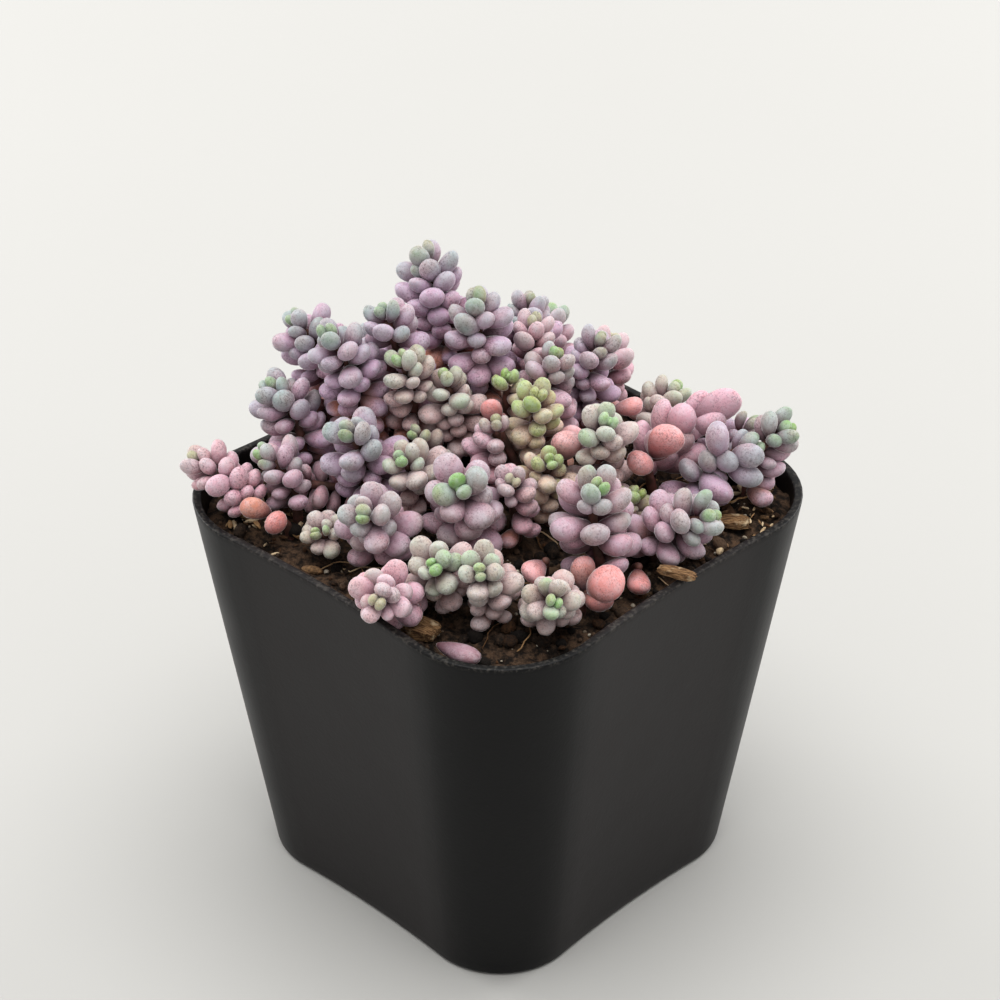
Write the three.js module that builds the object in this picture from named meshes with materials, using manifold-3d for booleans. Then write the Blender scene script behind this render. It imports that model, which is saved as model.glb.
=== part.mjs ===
// A small potted stonecrop: square black plant pot, potting soil, leafy stems with bead-like leaves.
// Millimetres, +Z up. The origin is the middle of the pot's base, and the pot's sides face X and Y.

import * as THREE from 'three';
import Module from 'manifold-3d';
import { mergeVertices } from 'three/addons/utils/BufferGeometryUtils.js';

// Pot
const POT_TOP = 50.8;
const POT_BASE = 39.4;
const POT_HEIGHT = 44.5;
const POT_WALL = 0.9;
const POT_FLOOR = 1.4;
const POT_CORNER = 11;
const SIDE_BOW = 0.6;
const RIM_REACH = POT_WALL + SIDE_BOW + 0.4;
const ARC_STEPS = 6;
const DRAIN_HOLE = 5.5;
const DRAIN_PLACE = 10.5;
const DRAIN_SIDES = 12;

// Soil
const SOIL_LEVEL = 41;
const SOIL_GRID = 9;
const HUMP = { height: 0.5, wave: [0.42, 0.37], shift: [1.3, -0.6] };
const RIPPLE = { height: 0.3, wave: [0.9, -0.8] };
const PLANT_MIDDLE = [-4, 2];
const SOIL_MOUNDS = [
  { middle: PLANT_MIDDLE, height: 3, reach: 13 },
  { middle: [20, 19], height: 1.8, reach: 9 },
  { middle: [-19, -19], height: 1.2, reach: 8 },
];
const ROOT_DEPTH = 3.2;
const HOLE_SIDES = 5;
const HOLE_RADIUS = 1.25;

// Gap between neighbouring pieces
const GAP = 0.3;

// Stems and leaves
const STEM_RADIUS = 0.65;
const STEM_SIDES = 4;
const STEM_PIECE = 4;
const STEM_BALLS_APART = 0.8;
const COLLAR_HEIGHT = 0.5;
const UPRIGHT_SHARE = 0.35;
const LEANING_SHARE = 0.4;
const OUTWARD_LEAN = 0.035;
const NEARLY_UPRIGHT = 0.05;
const LEAF_SIDES = 4;
const LEAF_WIDTH = 0.8;
const LEAF_FLATNESS = 0.9;
const LEAF_STALK = 0.35;
const LEAF_PROFILE = [[0, 0], [0.84, 0.27], [0.96, 0.72], [0, 1]];
const LEAF_BALLS = [[0.3, 0.86], [0.5, 1], [0.72, 0.86]];
const LEAF_FACET_SWELL = 1.16;
const LEAF_ROOM = 1.08;
const BUD_LENGTH = 0.62;
const BUD_DROP = 0.3;
const FIRST_PAIR = 0.2;
const LEAF_SHARES = [0.78, 0.94, 1];
const LEAF_SPACINGS = [0.32, 0.44, 0.5];
const LEAF_ANGLES = [40, 62, 82, 94];
const TURN_SPREAD = 24;
const ANGLE_SPREAD = 14;
const SMALLEST_DRAWN = 0.92;
const LENGTH_SPREAD = 0.16;
const LEAF_SIZES_TRIED = [1, 0.88, 0.76, 0.64];
const LEAF_SEED = 7919;

/**
 * A stem: where its tip and root are, its longest leaf, its pairs of leaves, the first pair's turn in
 * degrees, and its tint. A bundle has narrow leaves that stand close together. An old stem has round
 * leaves that open wide, and ends in a full leaf where a young one has a bud.
 */
function stem(tip, root, longest, pairs, turn, tint, habit = {}) {
  const { breadth = LEAF_WIDTH, spread = 1, bud = BUD_LENGTH } = habit;
  return { tip, root, longest, pairs, turn, tint, breadth, spread, bud };
}

const OLD = { breadth: 0.95, spread: 1.5, bud: 1 };
const BUNDLE = { breadth: 0.68, spread: 0.55, bud: 1 };

const STEMS = {
  left_corner: stem([-21.4, -21.3, 47.6], [-15.8, -19.2], 3.5, 4, 20, 'pink'),
  left_low: stem([-16.4, -16.4, 48.4], [-13.4, -15.6], 3.3, 5, 60, 'mauve'),
  left_upper: stem([-20.6, -11.4, 52.2], [-17.4, -10.8], 3.9, 4, 10, 'lavender'),
  left_middle: stem([-8.6, -12, 52.2], [-9, -10.4], 4.3, 4, 35, 'lavender'),
  left_creeper: stem([-15, -14.2, 45.2], [-10.6, -8.4], 3.2, 6, 0, 'pink'),
  left_front: stem([-0.5, -17.8, 49.3], [-2.6, -14.4], 4.1, 4, 15, 'mauve'),
  left_bud: stem([-6.6, -18.6, 44.8], [-7.2, -16.6], 2.8, 2, 40, 'sage'),
  left_rim: stem([8.8, -25.2, 47.6], [5.2, -20.6], 3.5, 3, 70, 'pink'),
  left_pink: stem([-13, -19.6, 44.8], [-12.2, -17.8], 3.8, 1, 0, 'salmon', OLD),
  back_tallest: stem([-16.6, 6.6, 62], [-14.4, 7.8], 4, 6, 30, 'lavender'),
  back_left_high: stem([-22.4, -6.2, 57.4], [-19.6, -5], 3.7, 6, 50, 'lavender'),
  back_left: stem([-15.6, -7.8, 59], [-15, -5.8], 3.7, 5, 0, 'lavender'),
  back_middle: stem([-13.8, -2.2, 60], [-14.2, -0.4], 3.5, 5, 70, 'lavender'),
  back_cream: stem([-9.4, -4, 57], [-10.4, -2.2], 3.3, 3, 15, 'sage'),
  back_centre: stem([-8.6, 5.8, 60], [-8.8, 7], 4.1, 6, 45, 'lavender'),
  back_right_tall: stem([-11, 16, 55], [-10.6, 15.6], 3.5, 5, 20, 'lavender'),
  back_pale: stem([-6.6, 12, 55.6], [-6.2, 12.4], 3.3, 3, 0, 'pink'),
  back_edge: stem([-0.8, 15.6, 54.5], [-2, 16.4], 3.5, 4, 60, 'lavender'),
  back_lavender: stem([-1.2, 9.4, 55], [-2, 9.4], 3.4, 4, 35, 'mauve'),
  centre_rose: stem([-1.4, 1.4, 51], [1.7, 2.2], 3.8, 1, 30, 'salmon', OLD),
  centre_blush: stem([5, 4.4, 48.6], [4.6, 5.8], 4.4, 1, 70, 'salmon', OLD),
  back_ivory: stem([-6.4, -0.8, 54.6], [-7, 1], 3.4, 4, 75, 'sage'),
  green_left: stem([-2.8, 4.4, 54], [-3.6, 5], 3.5, 3, 10, 'green'),
  green_right: stem([2.2, 3.4, 54.4], [1.2, 5], 3.6, 3, 50, 'green'),
  centre_green: stem([4.6, -9.8, 50.8], [2.4, -7.2], 4.8, 5, 30, 'mauve'),
  centre_bud: stem([-6.6, -5, 50], [-6.8, -3.4], 3, 3, 20, 'sage'),
  centre_left: stem([-3.4, -9.8, 50.6], [-3.8, -7.2], 3.5, 4, 60, 'sage'),
  centre_pale: stem([0.2, -0.4, 52], [-0.6, 0.8], 3.4, 4, 5, 'pink'),
  centre_small: stem([6.6, 0.4, 50], [5.6, 1.6], 3.2, 3, 0, 'green'),
  centre_high: stem([9.6, 5.4, 53.6], [8.2, 6.6], 3.9, 4, 45, 'sage'),
  front_coral: stem([18.6, -6.2, 44], [17.8, -6.6], 4.6, 1, 40, 'salmon', OLD),
  centre_large: stem([15.6, -2.2, 52], [17.2, -2.8], 4.3, 6, 15, 'mauve'),
  centre_column: stem([6.4, -4.6, 50], [5.8, -3.2], 3.1, 4, 60, 'pink'),
  front_green: stem([9.2, -18.2, 48.2], [7.6, -15.4], 3.5, 4, 45, 'sage'),
  front_column: stem([13.6, -16.4, 48.6], [12.4, -14], 3.7, 6, 10, 'sage'),
  front_right: stem([20, -13.2, 47], [17.4, -10.6], 3.2, 4, 70, 'sage'),
  front_salmon: stem([14.6, -8.2, 46.6], [12.6, -6.4], 5, 1, 30, 'salmon', OLD),
  right_crest: stem([11, 17, 49.4], [8.4, 14.2], 6, 2, 40, 'pink', BUNDLE),
  right_inner: stem([11.6, 10.6, 48.8], [11.4, 11.4], 4.6, 1, 0, 'salmon', OLD),
  right_middle: stem([17.6, 17.2, 49.2], [13.4, 14.6], 5.2, 5, 20, 'lavender'),
  right_far: stem([14.8, 21.2, 48.6], [13.4, 18.8], 3.8, 4, 55, 'lavender'),
  right_edge: stem([19.6, 20.8, 50.4], [17.8, 18.4], 3.8, 6, 25, 'mauve'),
  right_front: stem([21.8, 6.4, 48], [17.2, 4.6], 4, 5, 65, 'mauve'),
  right_shoot: stem([12.6, 6.4, 46], [12.4, 5.6], 2.8, 2, 0, 'green'),
  right_long: stem([19.8, -0.2, 44.4], [17.8, 1.2], 4.4, 1, 80, 'salmon', OLD),
  back_salmon: stem([3, 14.2, 50], [3.2, 13.6], 4.2, 2, 50, 'salmon', OLD),
  rear_left: stem([-22, 4.4, 52], [-19.8, 3.8], 3.5, 5, 0, 'lavender'),
  rear_corner: stem([-20.4, 17.6, 49], [-18.2, 16], 3.7, 3, 30, 'lavender'),
  rear_side: stem([-21.6, 11, 50.6], [-18.8, 10.6], 3.5, 3, 60, 'mauve'),
  rear_middle: stem([-13.4, 21.6, 50], [-12.2, 19.8], 3.7, 3, 15, 'mauve'),
  rear_right: stem([-4.6, 21.6, 50.2], [-4.4, 20.2], 3.8, 3, 75, 'pink'),
  rear_edge: stem([4.4, 21.2, 48.2], [4, 19.8], 3.5, 3, 40, 'sage'),
};

// A leaf that has dropped off: the end it lies from, and its heading in degrees
const FALLEN_LEAF = { from: [12.9, -22], heading: 12, length: 4.4, breadth: 0.56, sides: 8 };

// Bits of bark on the soil, and one on the rim: middle, size, and turn in degrees
const BARK_SEED = 104729;
const BARK_CORNERS = 7;
const BARK_ROOM = 0.38;
const BARK_REACH = 0.4;
const BARK_RAGGEDNESS = 0.1;
const BARK_BITS = {
  bark_right: { at: [20.2, 13.6], size: [3.6, 2.2, 1], turn: 35 },
  bark_inner: { at: [12.4, 17], size: [2.6, 1.6, 0.9], turn: 100 },
  bark_front: { at: [9.6, -20.6], size: [4.2, 3, 1.6], turn: 15 },
  bark_left: { at: [-18.8, -17.2], size: [2.4, 1.6, 0.8], turn: 70 },
  bark_rim: { at: [24, 0.6], size: [4.4, 1.4, 0.9], turn: 20 },
};

// Colours of the pieces
const POT_BLACK = 0x242424;
const SOIL_BROWN = 0x2e261f;
const LEAF_COLORS = {
  lavender: 0xa99bac,
  mauve: 0xb58fa5,
  pink: 0xc99aa2,
  salmon: 0xcf7f7c,
  sage: 0xb4bfa6,
  green: 0x8fb36a,
};
const FALLEN_PURPLE = 0x9a6f8d;
const BARK_TAN = 0xa8825a;
const ROUGHNESS = { pot: 0.5, soil: 1, leaf: 0.6, bark: 0.9 };

// Seeded draws, and how close two points are when they count as one
const DRAW_FACTOR = 16807;
const DRAW_RANGE = 2147483647;
const SAME_POINT = 1e-4;

const wasm = await Module();
wasm.setup();

/** A closed three.js geometry as a solid that can be joined and cut. */
function toSolid(geometry) {
  const bare = geometry.clone();
  bare.deleteAttribute('normal');
  bare.deleteAttribute('uv');
  const merged = mergeVertices(bare, SAME_POINT);
  return new wasm.Manifold(new wasm.Mesh({
    numProp: 3,
    vertProperties: Float32Array.from(merged.attributes.position.array),
    triVerts: Uint32Array.from(merged.index.array),
  }));
}

/** The outer skin of a joined body: hollows sealed inside it are filled and loose scraps dropped. */
function outerSkin(body) {
  const skins = body.decompose();
  return skins.reduce((largest, skin) => (skin.volume() > largest.volume() ? skin : largest));
}

/** A solid as a three.js mesh with its own material. */
function toMesh(body, name, color, roughness) {
  const { numProp, vertProperties, triVerts } = body.getMesh();
  const geometry = new THREE.BufferGeometry();
  const places = new Float32Array(vertProperties.length / numProp * 3);
  for (let i = 0; i < places.length / 3; i++) {
    for (let axis = 0; axis < 3; axis++) places[3 * i + axis] = vertProperties[numProp * i + axis];
  }
  geometry.setAttribute('position', new THREE.BufferAttribute(places, 3));
  geometry.setIndex(new THREE.BufferAttribute(Uint32Array.from(triVerts), 1));
  geometry.computeVertexNormals();
  const material = new THREE.MeshStandardMaterial({ color, roughness, metalness: 0 });
  const mesh = new THREE.Mesh(geometry, material);
  mesh.name = name;
  return mesh;
}

/** Seeded draws from 0 to 1. */
function makeDraw(seed) {
  let state = seed;
  return () => {
    state = (state * DRAW_FACTOR) % DRAW_RANGE;
    return state / DRAW_RANGE;
  };
}

/** The pot's half width at a height. */
function potHalf(z) {
  return (POT_BASE + (POT_TOP - POT_BASE) * z / POT_HEIGHT) / 2;
}

/** A square with rounded corners and sides that bow in a little. */
function roundedSquare(half, corner, bow) {
  const flat = half - corner;
  const shape = new THREE.Shape();
  shape.moveTo(half, -flat);
  shape.quadraticCurveTo(half - 2 * bow, 0, half, flat);
  shape.absarc(flat, flat, corner, 0, Math.PI / 2);
  shape.quadraticCurveTo(0, half - 2 * bow, -flat, half);
  shape.absarc(-flat, flat, corner, Math.PI / 2, Math.PI);
  shape.quadraticCurveTo(-half + 2 * bow, 0, -half, -flat);
  shape.absarc(-flat, -flat, corner, Math.PI, 1.5 * Math.PI);
  shape.quadraticCurveTo(0, -half + 2 * bow, flat, -half);
  shape.absarc(flat, -flat, corner, 1.5 * Math.PI, 2 * Math.PI);
  return shape;
}

/** The pot's outline, drawn in by an inset, from one height to another. */
function taperedBlock(inset, from, to) {
  const half = POT_TOP / 2;
  const shape = roundedSquare(half - inset, POT_CORNER - inset, SIDE_BOW);
  const rise = { depth: to - from, bevelEnabled: false, curveSegments: ARC_STEPS };
  const geometry = new THREE.ExtrudeGeometry(shape, rise);
  const place = geometry.attributes.position;
  for (let i = 0; i < place.count; i++) {
    const z = place.getZ(i) + from;
    const scale = (potHalf(z) - inset) / (half - inset);
    place.setXYZ(i, place.getX(i) * scale, place.getY(i) * scale, z);
  }
  return toSolid(geometry);
}

/** The pot: a thin tapered wall, a floor, and four drain holes. */
function makePot() {
  let pot = taperedBlock(0, 0, POT_HEIGHT);
  pot = pot.subtract(taperedBlock(POT_WALL, POT_FLOOR, POT_HEIGHT + 1));
  const drill = new THREE.CylinderGeometry(DRAIN_HOLE / 2, DRAIN_HOLE / 2, 4 * POT_FLOOR, DRAIN_SIDES);
  drill.rotateX(Math.PI / 2);
  for (const x of [-DRAIN_PLACE, DRAIN_PLACE]) {
    for (const y of [-DRAIN_PLACE, DRAIN_PLACE]) {
      pot = pot.subtract(toSolid(drill.clone().translate(x, y, 0)));
    }
  }
  return toMesh(pot, 'pot', POT_BLACK, ROUGHNESS.pot);
}

/** Height of the uneven soil by its formula: low humps, and mounds under the plant and in two corners. */
function soilHump(x, y) {
  const hump = Math.sin(HUMP.wave[0] * x + HUMP.shift[0]) * Math.cos(HUMP.wave[1] * y + HUMP.shift[1]);
  const ripple = Math.sin(RIPPLE.wave[0] * x + RIPPLE.wave[1] * y);
  let top = SOIL_LEVEL + HUMP.height * hump + RIPPLE.height * ripple;
  for (const { middle, height, reach } of SOIL_MOUNDS) {
    const away = Math.hypot(x - middle[0], y - middle[1]) / reach;
    top += height * Math.exp(-(away ** 2));
  }
  return top;
}

/** Height of the soil's facets at a place: flat triangles between the grid's points. */
function soilTop(x, y) {
  const cell = POT_TOP / SOIL_GRID;
  const low = (value) => Math.floor((value + POT_TOP / 2) / cell) * cell - POT_TOP / 2;
  const [left, front] = [low(x), low(y)];
  const [shareX, shareY] = [(x - left) / cell, (y - front) / cell];
  const near = soilHump(left, front);
  const far = soilHump(left + cell, front + cell);
  if (shareY > shareX) {
    const corner = soilHump(left, front + cell);
    return near + shareY * (corner - near) + shareX * (far - corner);
  }
  const corner = soilHump(left + cell, front);
  return near + shareX * (corner - near) + shareY * (far - corner);
}

/** The soil: it fills the pot, with an uneven top and a plain hole for each stem. */
function makeSoil() {
  const geometry = new THREE.BoxGeometry(POT_TOP, POT_TOP, POT_HEIGHT, SOIL_GRID, SOIL_GRID, 1);
  geometry.translate(0, 0, POT_HEIGHT / 2);
  const place = geometry.attributes.position;
  for (let i = 0; i < place.count; i++) {
    if (place.getZ(i) > 1) place.setZ(i, soilHump(place.getX(i), place.getY(i)));
  }
  let soil = toSolid(geometry).intersect(taperedBlock(POT_WALL + GAP, POT_FLOOR + GAP, POT_HEIGHT));
  const depth = 2 * ROOT_DEPTH;
  for (const { root: [rootX, rootY] } of Object.values(STEMS)) {
    const hole = new THREE.CylinderGeometry(HOLE_RADIUS, HOLE_RADIUS, depth, HOLE_SIDES);
    hole.rotateX(Math.PI / 2);
    hole.translate(rootX, rootY, soilTop(rootX, rootY) - ROOT_DEPTH - GAP + depth / 2);
    soil = soil.subtract(toSolid(hole));
  }
  return toMesh(soil, 'soil', SOIL_BROWN, ROUGHNESS.soil);
}

/** A stem's centre line: straight up out of the soil, then over to the tip. */
function stemLine({ tip: [tipX, tipY, tipZ], root: [rootX, rootY] }) {
  const ground = soilTop(rootX, rootY);
  const foot = new THREE.Vector3(rootX, rootY, ground - ROOT_DEPTH);
  const collar = new THREE.Vector3(rootX, rootY, ground + COLLAR_HEIGHT);
  const tip = new THREE.Vector3(tipX, tipY, tipZ);
  const rise = tipZ - collar.z;
  const leanX = (tipX - rootX) / rise + OUTWARD_LEAN * (tipX - PLANT_MIDDLE[0]);
  const leanY = (tipY - rootY) / rise + OUTWARD_LEAN * (tipY - PLANT_MIDDLE[1]);
  const lean = new THREE.Vector3(leanX, leanY, 1).normalize();
  const lower = collar.clone().add(new THREE.Vector3(0, 0, UPRIGHT_SHARE * rise));
  const upper = tip.clone().addScaledVector(lean, -LEANING_SHARE * collar.distanceTo(tip));
  const line = new THREE.CurvePath();
  line.add(new THREE.LineCurve3(foot, collar));
  line.add(new THREE.CubicBezierCurve3(collar, lower, upper, tip));
  return line;
}

/** Two directions square to the stem and to each other, the same on every run. */
function crossDirections(along) {
  const side = new THREE.Vector3(0, 0, 1).cross(along);
  if (side.length() < NEARLY_UPRIGHT) side.set(1, 0, 0);
  side.normalize();
  return [side, along.clone().cross(side)];
}

/** The value at a place in a list, or its last one. */
function nth(list, place) {
  return list[Math.min(place, list.length - 1)];
}

/** The leaves of a stem as it grew: where each starts, which way it points, its length and its breadth. */
function growLeaves({ longest, pairs, turn, breadth, spread, bud, ...line }, number) {
  const shoot = stemLine(line).curves[1];
  const length = shoot.getLength();
  const draw = makeDraw(LEAF_SEED * (number + 1));
  const upward = shoot.getTangentAt(1);
  const start = shoot.getPointAt(1).addScaledVector(upward, -BUD_DROP);
  const leaves = [{ start, direction: upward, length: bud * longest, breadth }];
  let below = FIRST_PAIR * longest;
  for (let pair = 0; pair < pairs && below < length; pair++) {
    const size = longest * nth(LEAF_SHARES, pair);
    const at = 1 - below / length;
    const along = shoot.getTangentAt(at);
    const [sideA, sideB] = crossDirections(along);
    for (const opposite of [0, Math.PI]) {
      const round = THREE.MathUtils.degToRad(turn + 90 * pair + TURN_SPREAD * (draw() - 0.5)) + opposite;
      const open = THREE.MathUtils.degToRad(spread * nth(LEAF_ANGLES, pair) + ANGLE_SPREAD * (draw() - 0.5));
      const out = sideA.clone().multiplyScalar(Math.cos(round)).addScaledVector(sideB, Math.sin(round));
      leaves.push({
        start: shoot.getPointAt(at),
        direction: along.clone().multiplyScalar(Math.cos(open)).addScaledVector(out, Math.sin(open)),
        length: size * (SMALLEST_DRAWN + LENGTH_SPREAD * draw()),
        breadth,
      });
    }
    below += nth(LEAF_SPACINGS, pair) * size;
  }
  return leaves;
}

/** The balls that stand for a leaf while room is being looked for. */
function leafBalls({ start, direction, length, breadth }) {
  return LEAF_BALLS.map(([along, share]) => ({
    centre: start.clone().addScaledVector(direction, LEAF_STALK + along * length),
    radius: share * breadth * length / 2,
  }));
}

/** How far a place lies outside the pot's rim, or less than nothing inside it. */
function outsideRim(x, y) {
  const flat = POT_TOP / 2 - POT_CORNER;
  return Math.hypot(Math.max(Math.abs(x) - flat, 0), Math.max(Math.abs(y) - flat, 0)) - POT_CORNER;
}

/** Height of what a loose bit lies on: the rim near the wall, the soil elsewhere. */
function restingHeight(x, y) {
  return outsideRim(x, y) > -RIM_REACH ? POT_HEIGHT : soilTop(x, y);
}

/** Whether a ball stays off the soil and the pot. */
function clearOfPot({ centre, radius }) {
  const room = radius * LEAF_ROOM + GAP;
  if (centre.z - room < soilTop(centre.x, centre.y)) return false;
  if (centre.z - room > POT_HEIGHT) return true;
  return outsideRim(centre.x, centre.y) < -RIM_REACH - room;
}

/** Whether a ball stays off every ball of the other stems. */
function clearOfOthers(ball, owner, taken) {
  return taken.every((other) => other.owner === owner
    || other.centre.distanceTo(ball.centre) > (other.radius + ball.radius) * LEAF_ROOM + GAP);
}

/** Every stem's leaves after each has found its room: some smaller, some left off. */
function settleLeaves() {
  const stems = Object.values(STEMS);
  const taken = [];
  for (const { at: [x, y], size: [length] } of Object.values(BARK_BITS)) {
    const centre = new THREE.Vector3(x, y, restingHeight(x, y));
    taken.push({ centre, radius: BARK_ROOM * length, owner: 'bark' });
  }
  stems.forEach((stem, owner) => {
    const line = stemLine(stem);
    const steps = Math.ceil(line.getLength() / STEM_BALLS_APART);
    for (let i = 0; i <= steps; i++) {
      taken.push({ centre: line.getPointAt(i / steps), radius: STEM_RADIUS, owner });
    }
  });
  return stems.map((stem, owner) => {
    const kept = [];
    for (const leaf of growLeaves(stem, owner)) {
      for (const share of LEAF_SIZES_TRIED) {
        const tried = { ...leaf, length: leaf.length * share };
        const balls = leafBalls(tried);
        if (balls.every((ball) => clearOfPot(ball) && clearOfOthers(ball, owner, taken))) {
          kept.push(tried);
          taken.push(...balls.map((ball) => ({ ...ball, owner })));
          break;
        }
      }
    }
    return kept;
  });
}

/** One bead-like leaf, widest past its middle, with its foot at the start. */
function makeLeaf({ start, direction, length, breadth }, sides) {
  const profile = LEAF_PROFILE.map(([across, along]) => new THREE.Vector2(across, along));
  const bead = new THREE.LatheGeometry(profile, sides);
  const wide = LEAF_FACET_SWELL * breadth * length / 2;
  bead.scale(wide, length, LEAF_FLATNESS * wide);
  bead.translate(0, LEAF_STALK, 0);
  bead.applyQuaternion(new THREE.Quaternion().setFromUnitVectors(new THREE.Vector3(0, 1, 0), direction));
  bead.translate(start.x, start.y, start.z);
  return toSolid(bead);
}

/** A leafy stem: the stem with its leaves joined to it. */
function makeStem(stem, leaves, name) {
  const section = new THREE.Shape();
  for (let i = 0; i < STEM_SIDES; i++) {
    const angle = 2 * Math.PI * i / STEM_SIDES;
    const point = [STEM_RADIUS * Math.cos(angle), STEM_RADIUS * Math.sin(angle)];
    if (i === 0) section.moveTo(...point);
    else section.lineTo(...point);
  }
  const line = stemLine(stem);
  const steps = Math.max(3, Math.round(line.getLength() / STEM_PIECE));
  let body = toSolid(new THREE.ExtrudeGeometry(section, { steps, bevelEnabled: false, extrudePath: line }));
  for (const leaf of leaves) body = body.add(makeLeaf(leaf, LEAF_SIDES));
  return toMesh(outerSkin(body), name, LEAF_COLORS[stem.tint], ROUGHNESS.leaf);
}

/** A leaf lying on the soil. */
function makeFallenLeaf() {
  const { from: [x, y], heading, length, breadth, sides } = FALLEN_LEAF;
  const angle = THREE.MathUtils.degToRad(heading);
  const direction = new THREE.Vector3(Math.cos(angle), Math.sin(angle), 0);
  const middle = direction.clone().multiplyScalar(length / 2);
  const lift = soilTop(x + middle.x, y + middle.y) + breadth * length / 2 + 2 * GAP;
  const start = new THREE.Vector3(x, y, lift);
  const leaf = makeLeaf({ start, direction, length, breadth }, sides);
  return toMesh(leaf, 'fallen_leaf', FALLEN_PURPLE, ROUGHNESS.leaf);
}

/** A flat bit of bark with a ragged outline, resting on the soil or on the rim. */
function makeBark({ at: [x, y], size: [length, width, thick], turn }, name, number) {
  const draw = makeDraw(BARK_SEED * (number + 1));
  const outline = new THREE.Shape();
  for (let i = 0; i < BARK_CORNERS; i++) {
    const angle = 2 * Math.PI * i / BARK_CORNERS;
    const reach = BARK_REACH + BARK_RAGGEDNESS * draw();
    const point = [length * reach * Math.cos(angle), width * reach * Math.sin(angle)];
    if (i === 0) outline.moveTo(...point);
    else outline.lineTo(...point);
  }
  const geometry = new THREE.ExtrudeGeometry(outline, { depth: thick, bevelEnabled: false });
  geometry.rotateZ(THREE.MathUtils.degToRad(turn));
  geometry.translate(x, y, 0);
  const place = geometry.attributes.position;
  let rest = 0;
  for (let i = 0; i < place.count; i++) {
    rest = Math.max(rest, restingHeight(place.getX(i), place.getY(i)));
  }
  geometry.translate(0, 0, rest + GAP);
  return toMesh(toSolid(geometry), name, BARK_TAN, ROUGHNESS.bark);
}

const plant = new THREE.Group();
plant.add(makePot());
plant.add(makeSoil());
const settled = settleLeaves();
Object.entries(STEMS).forEach(([name, stem], number) => {
  plant.add(makeStem(stem, settled[number], `stem_${name}`));
});
plant.add(makeFallenLeaf());
Object.entries(BARK_BITS).forEach(([name, bit], number) => plant.add(makeBark(bit, name, number)));

export default plant;
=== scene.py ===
"""A potted stonecrop: square black plant pot, potting soil and 52 stems of bead-like leaves.

The plant's rule of growth works in millimetres, and every mesh is made in metres.
"""

import math
import random
from collections import namedtuple

import bmesh
import bpy
import numpy as np
from bmesh.types import BMEdge, BMFace, BMVert
from bpy.props import FloatProperty, FloatVectorProperty, IntProperty, PointerProperty
from mathutils import Matrix, Vector, noise


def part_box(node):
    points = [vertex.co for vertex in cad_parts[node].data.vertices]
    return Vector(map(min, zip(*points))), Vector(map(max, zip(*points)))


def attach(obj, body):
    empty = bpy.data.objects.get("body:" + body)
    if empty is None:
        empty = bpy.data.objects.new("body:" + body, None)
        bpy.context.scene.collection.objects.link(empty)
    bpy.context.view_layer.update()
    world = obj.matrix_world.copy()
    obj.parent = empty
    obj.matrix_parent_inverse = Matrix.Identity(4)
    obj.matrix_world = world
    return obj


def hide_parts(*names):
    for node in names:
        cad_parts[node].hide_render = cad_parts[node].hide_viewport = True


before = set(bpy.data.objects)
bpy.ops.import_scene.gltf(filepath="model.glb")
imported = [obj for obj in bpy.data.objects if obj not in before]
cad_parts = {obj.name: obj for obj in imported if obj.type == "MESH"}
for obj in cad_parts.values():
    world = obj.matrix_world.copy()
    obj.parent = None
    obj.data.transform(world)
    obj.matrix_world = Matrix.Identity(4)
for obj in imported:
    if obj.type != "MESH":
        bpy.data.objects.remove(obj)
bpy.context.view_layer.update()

bl_info = {
    "name": "Potted Stonecrop",
    "version": (1, 0, 0),
    "blender": (4, 5, 0),
    "location": "3D View > Sidebar > Stonecrop",
    "description": "Builds a small stonecrop in a square plant pot",
    "category": "Add Mesh",
}

MM = 0.001
SAME_PLACE = 1e-6
ON_PLANE = 1e-7

# Pot and soil
POT_TOP = 50.8
POT_BASE = 39.4
POT_HEIGHT = 44.5
POT_WALL = 0.9
POT_FLOOR = 1.4
POT_CORNER = 11
CORNER_STEPS = 12
SIDE_BOW = 0.6
SIDE_CUTS = 11
OUTLINE_ROUNDS = 4
WALL_CUTS = (1.5, 6, 20, 34)
RIM_CUT = 0.8
RIM_EDGE = 0.22
BASE_EDGE = 0.6
RIM_EDGE_STEPS = 3
BASE_EDGE_STEPS = 4
RIM_REACH = POT_WALL + SIDE_BOW + 0.4
DRAIN_HOLE = 5.5
DRAIN_PLACE = 10.5
DRAIN_SIDES = 24
SOIL_LEVEL = 41
SOIL_GRID = 9
SOIL_POINTS = 110
SOIL_INSET = POT_WALL + 0.04
LUMPS_PER_MM = 0.55
LUMP_FRACTAL = (0.9, 2.1, 5)
LUMP_HEIGHT = 0.45
LUMP_LAYER = 3
CRUMB_RISE = 0.2
HUMP = (0.5, 0.42, 0.37, 1.3, -0.6)
RIPPLE = (0.3, 0.9, -0.8)
PLANT_MIDDLE = (-4, 2)
SOIL_MOUNDS = ((PLANT_MIDDLE, 3, 13), ((20, 19), 1.8, 9), ((-19, -19), 1.2, 8))
HEAP_REACH = 7.5
ROOT_DEPTH = 3.2
GAP = 0.3

# Stems and leaves
STEM_RADIUS = 0.65
STEM_BALLS_APART = 0.8
STEM_RINGS_APART = 1.4
STEM_SIDES = 8
STEM_TAPER = 0.3
COLLAR_HEIGHT = 0.5
UPRIGHT_SHARE = 0.35
LEANING_SHARE = 0.4
OUTWARD_LEAN = 0.035
NEARLY_UPRIGHT = 0.05
LEAF_WIDTH = 0.8
LEAF_FLATNESS = 0.9
LEAF_STALK = 0.35
LEAF_END = 0.7
LEAF_BALLS = ((0.3, 0.86), (0.5, 1), (0.72, 0.86))
LEAF_ROOM = 1.08
LEAF_SIDES = 8
LEAF_RINGS = 6
LEAF_SHAPES = ((0.25, 0.02), (0.45, 0.05), (0.1, 0))
LEAF_BREADTHS = (1.03, 1.15)
LEAF_THICKNESSES = (0.84, 0.98)
FOOT_BREADTH = 0.55
END_SWELL = 0.66
UPPER_FULLNESS = 0.9
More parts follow.
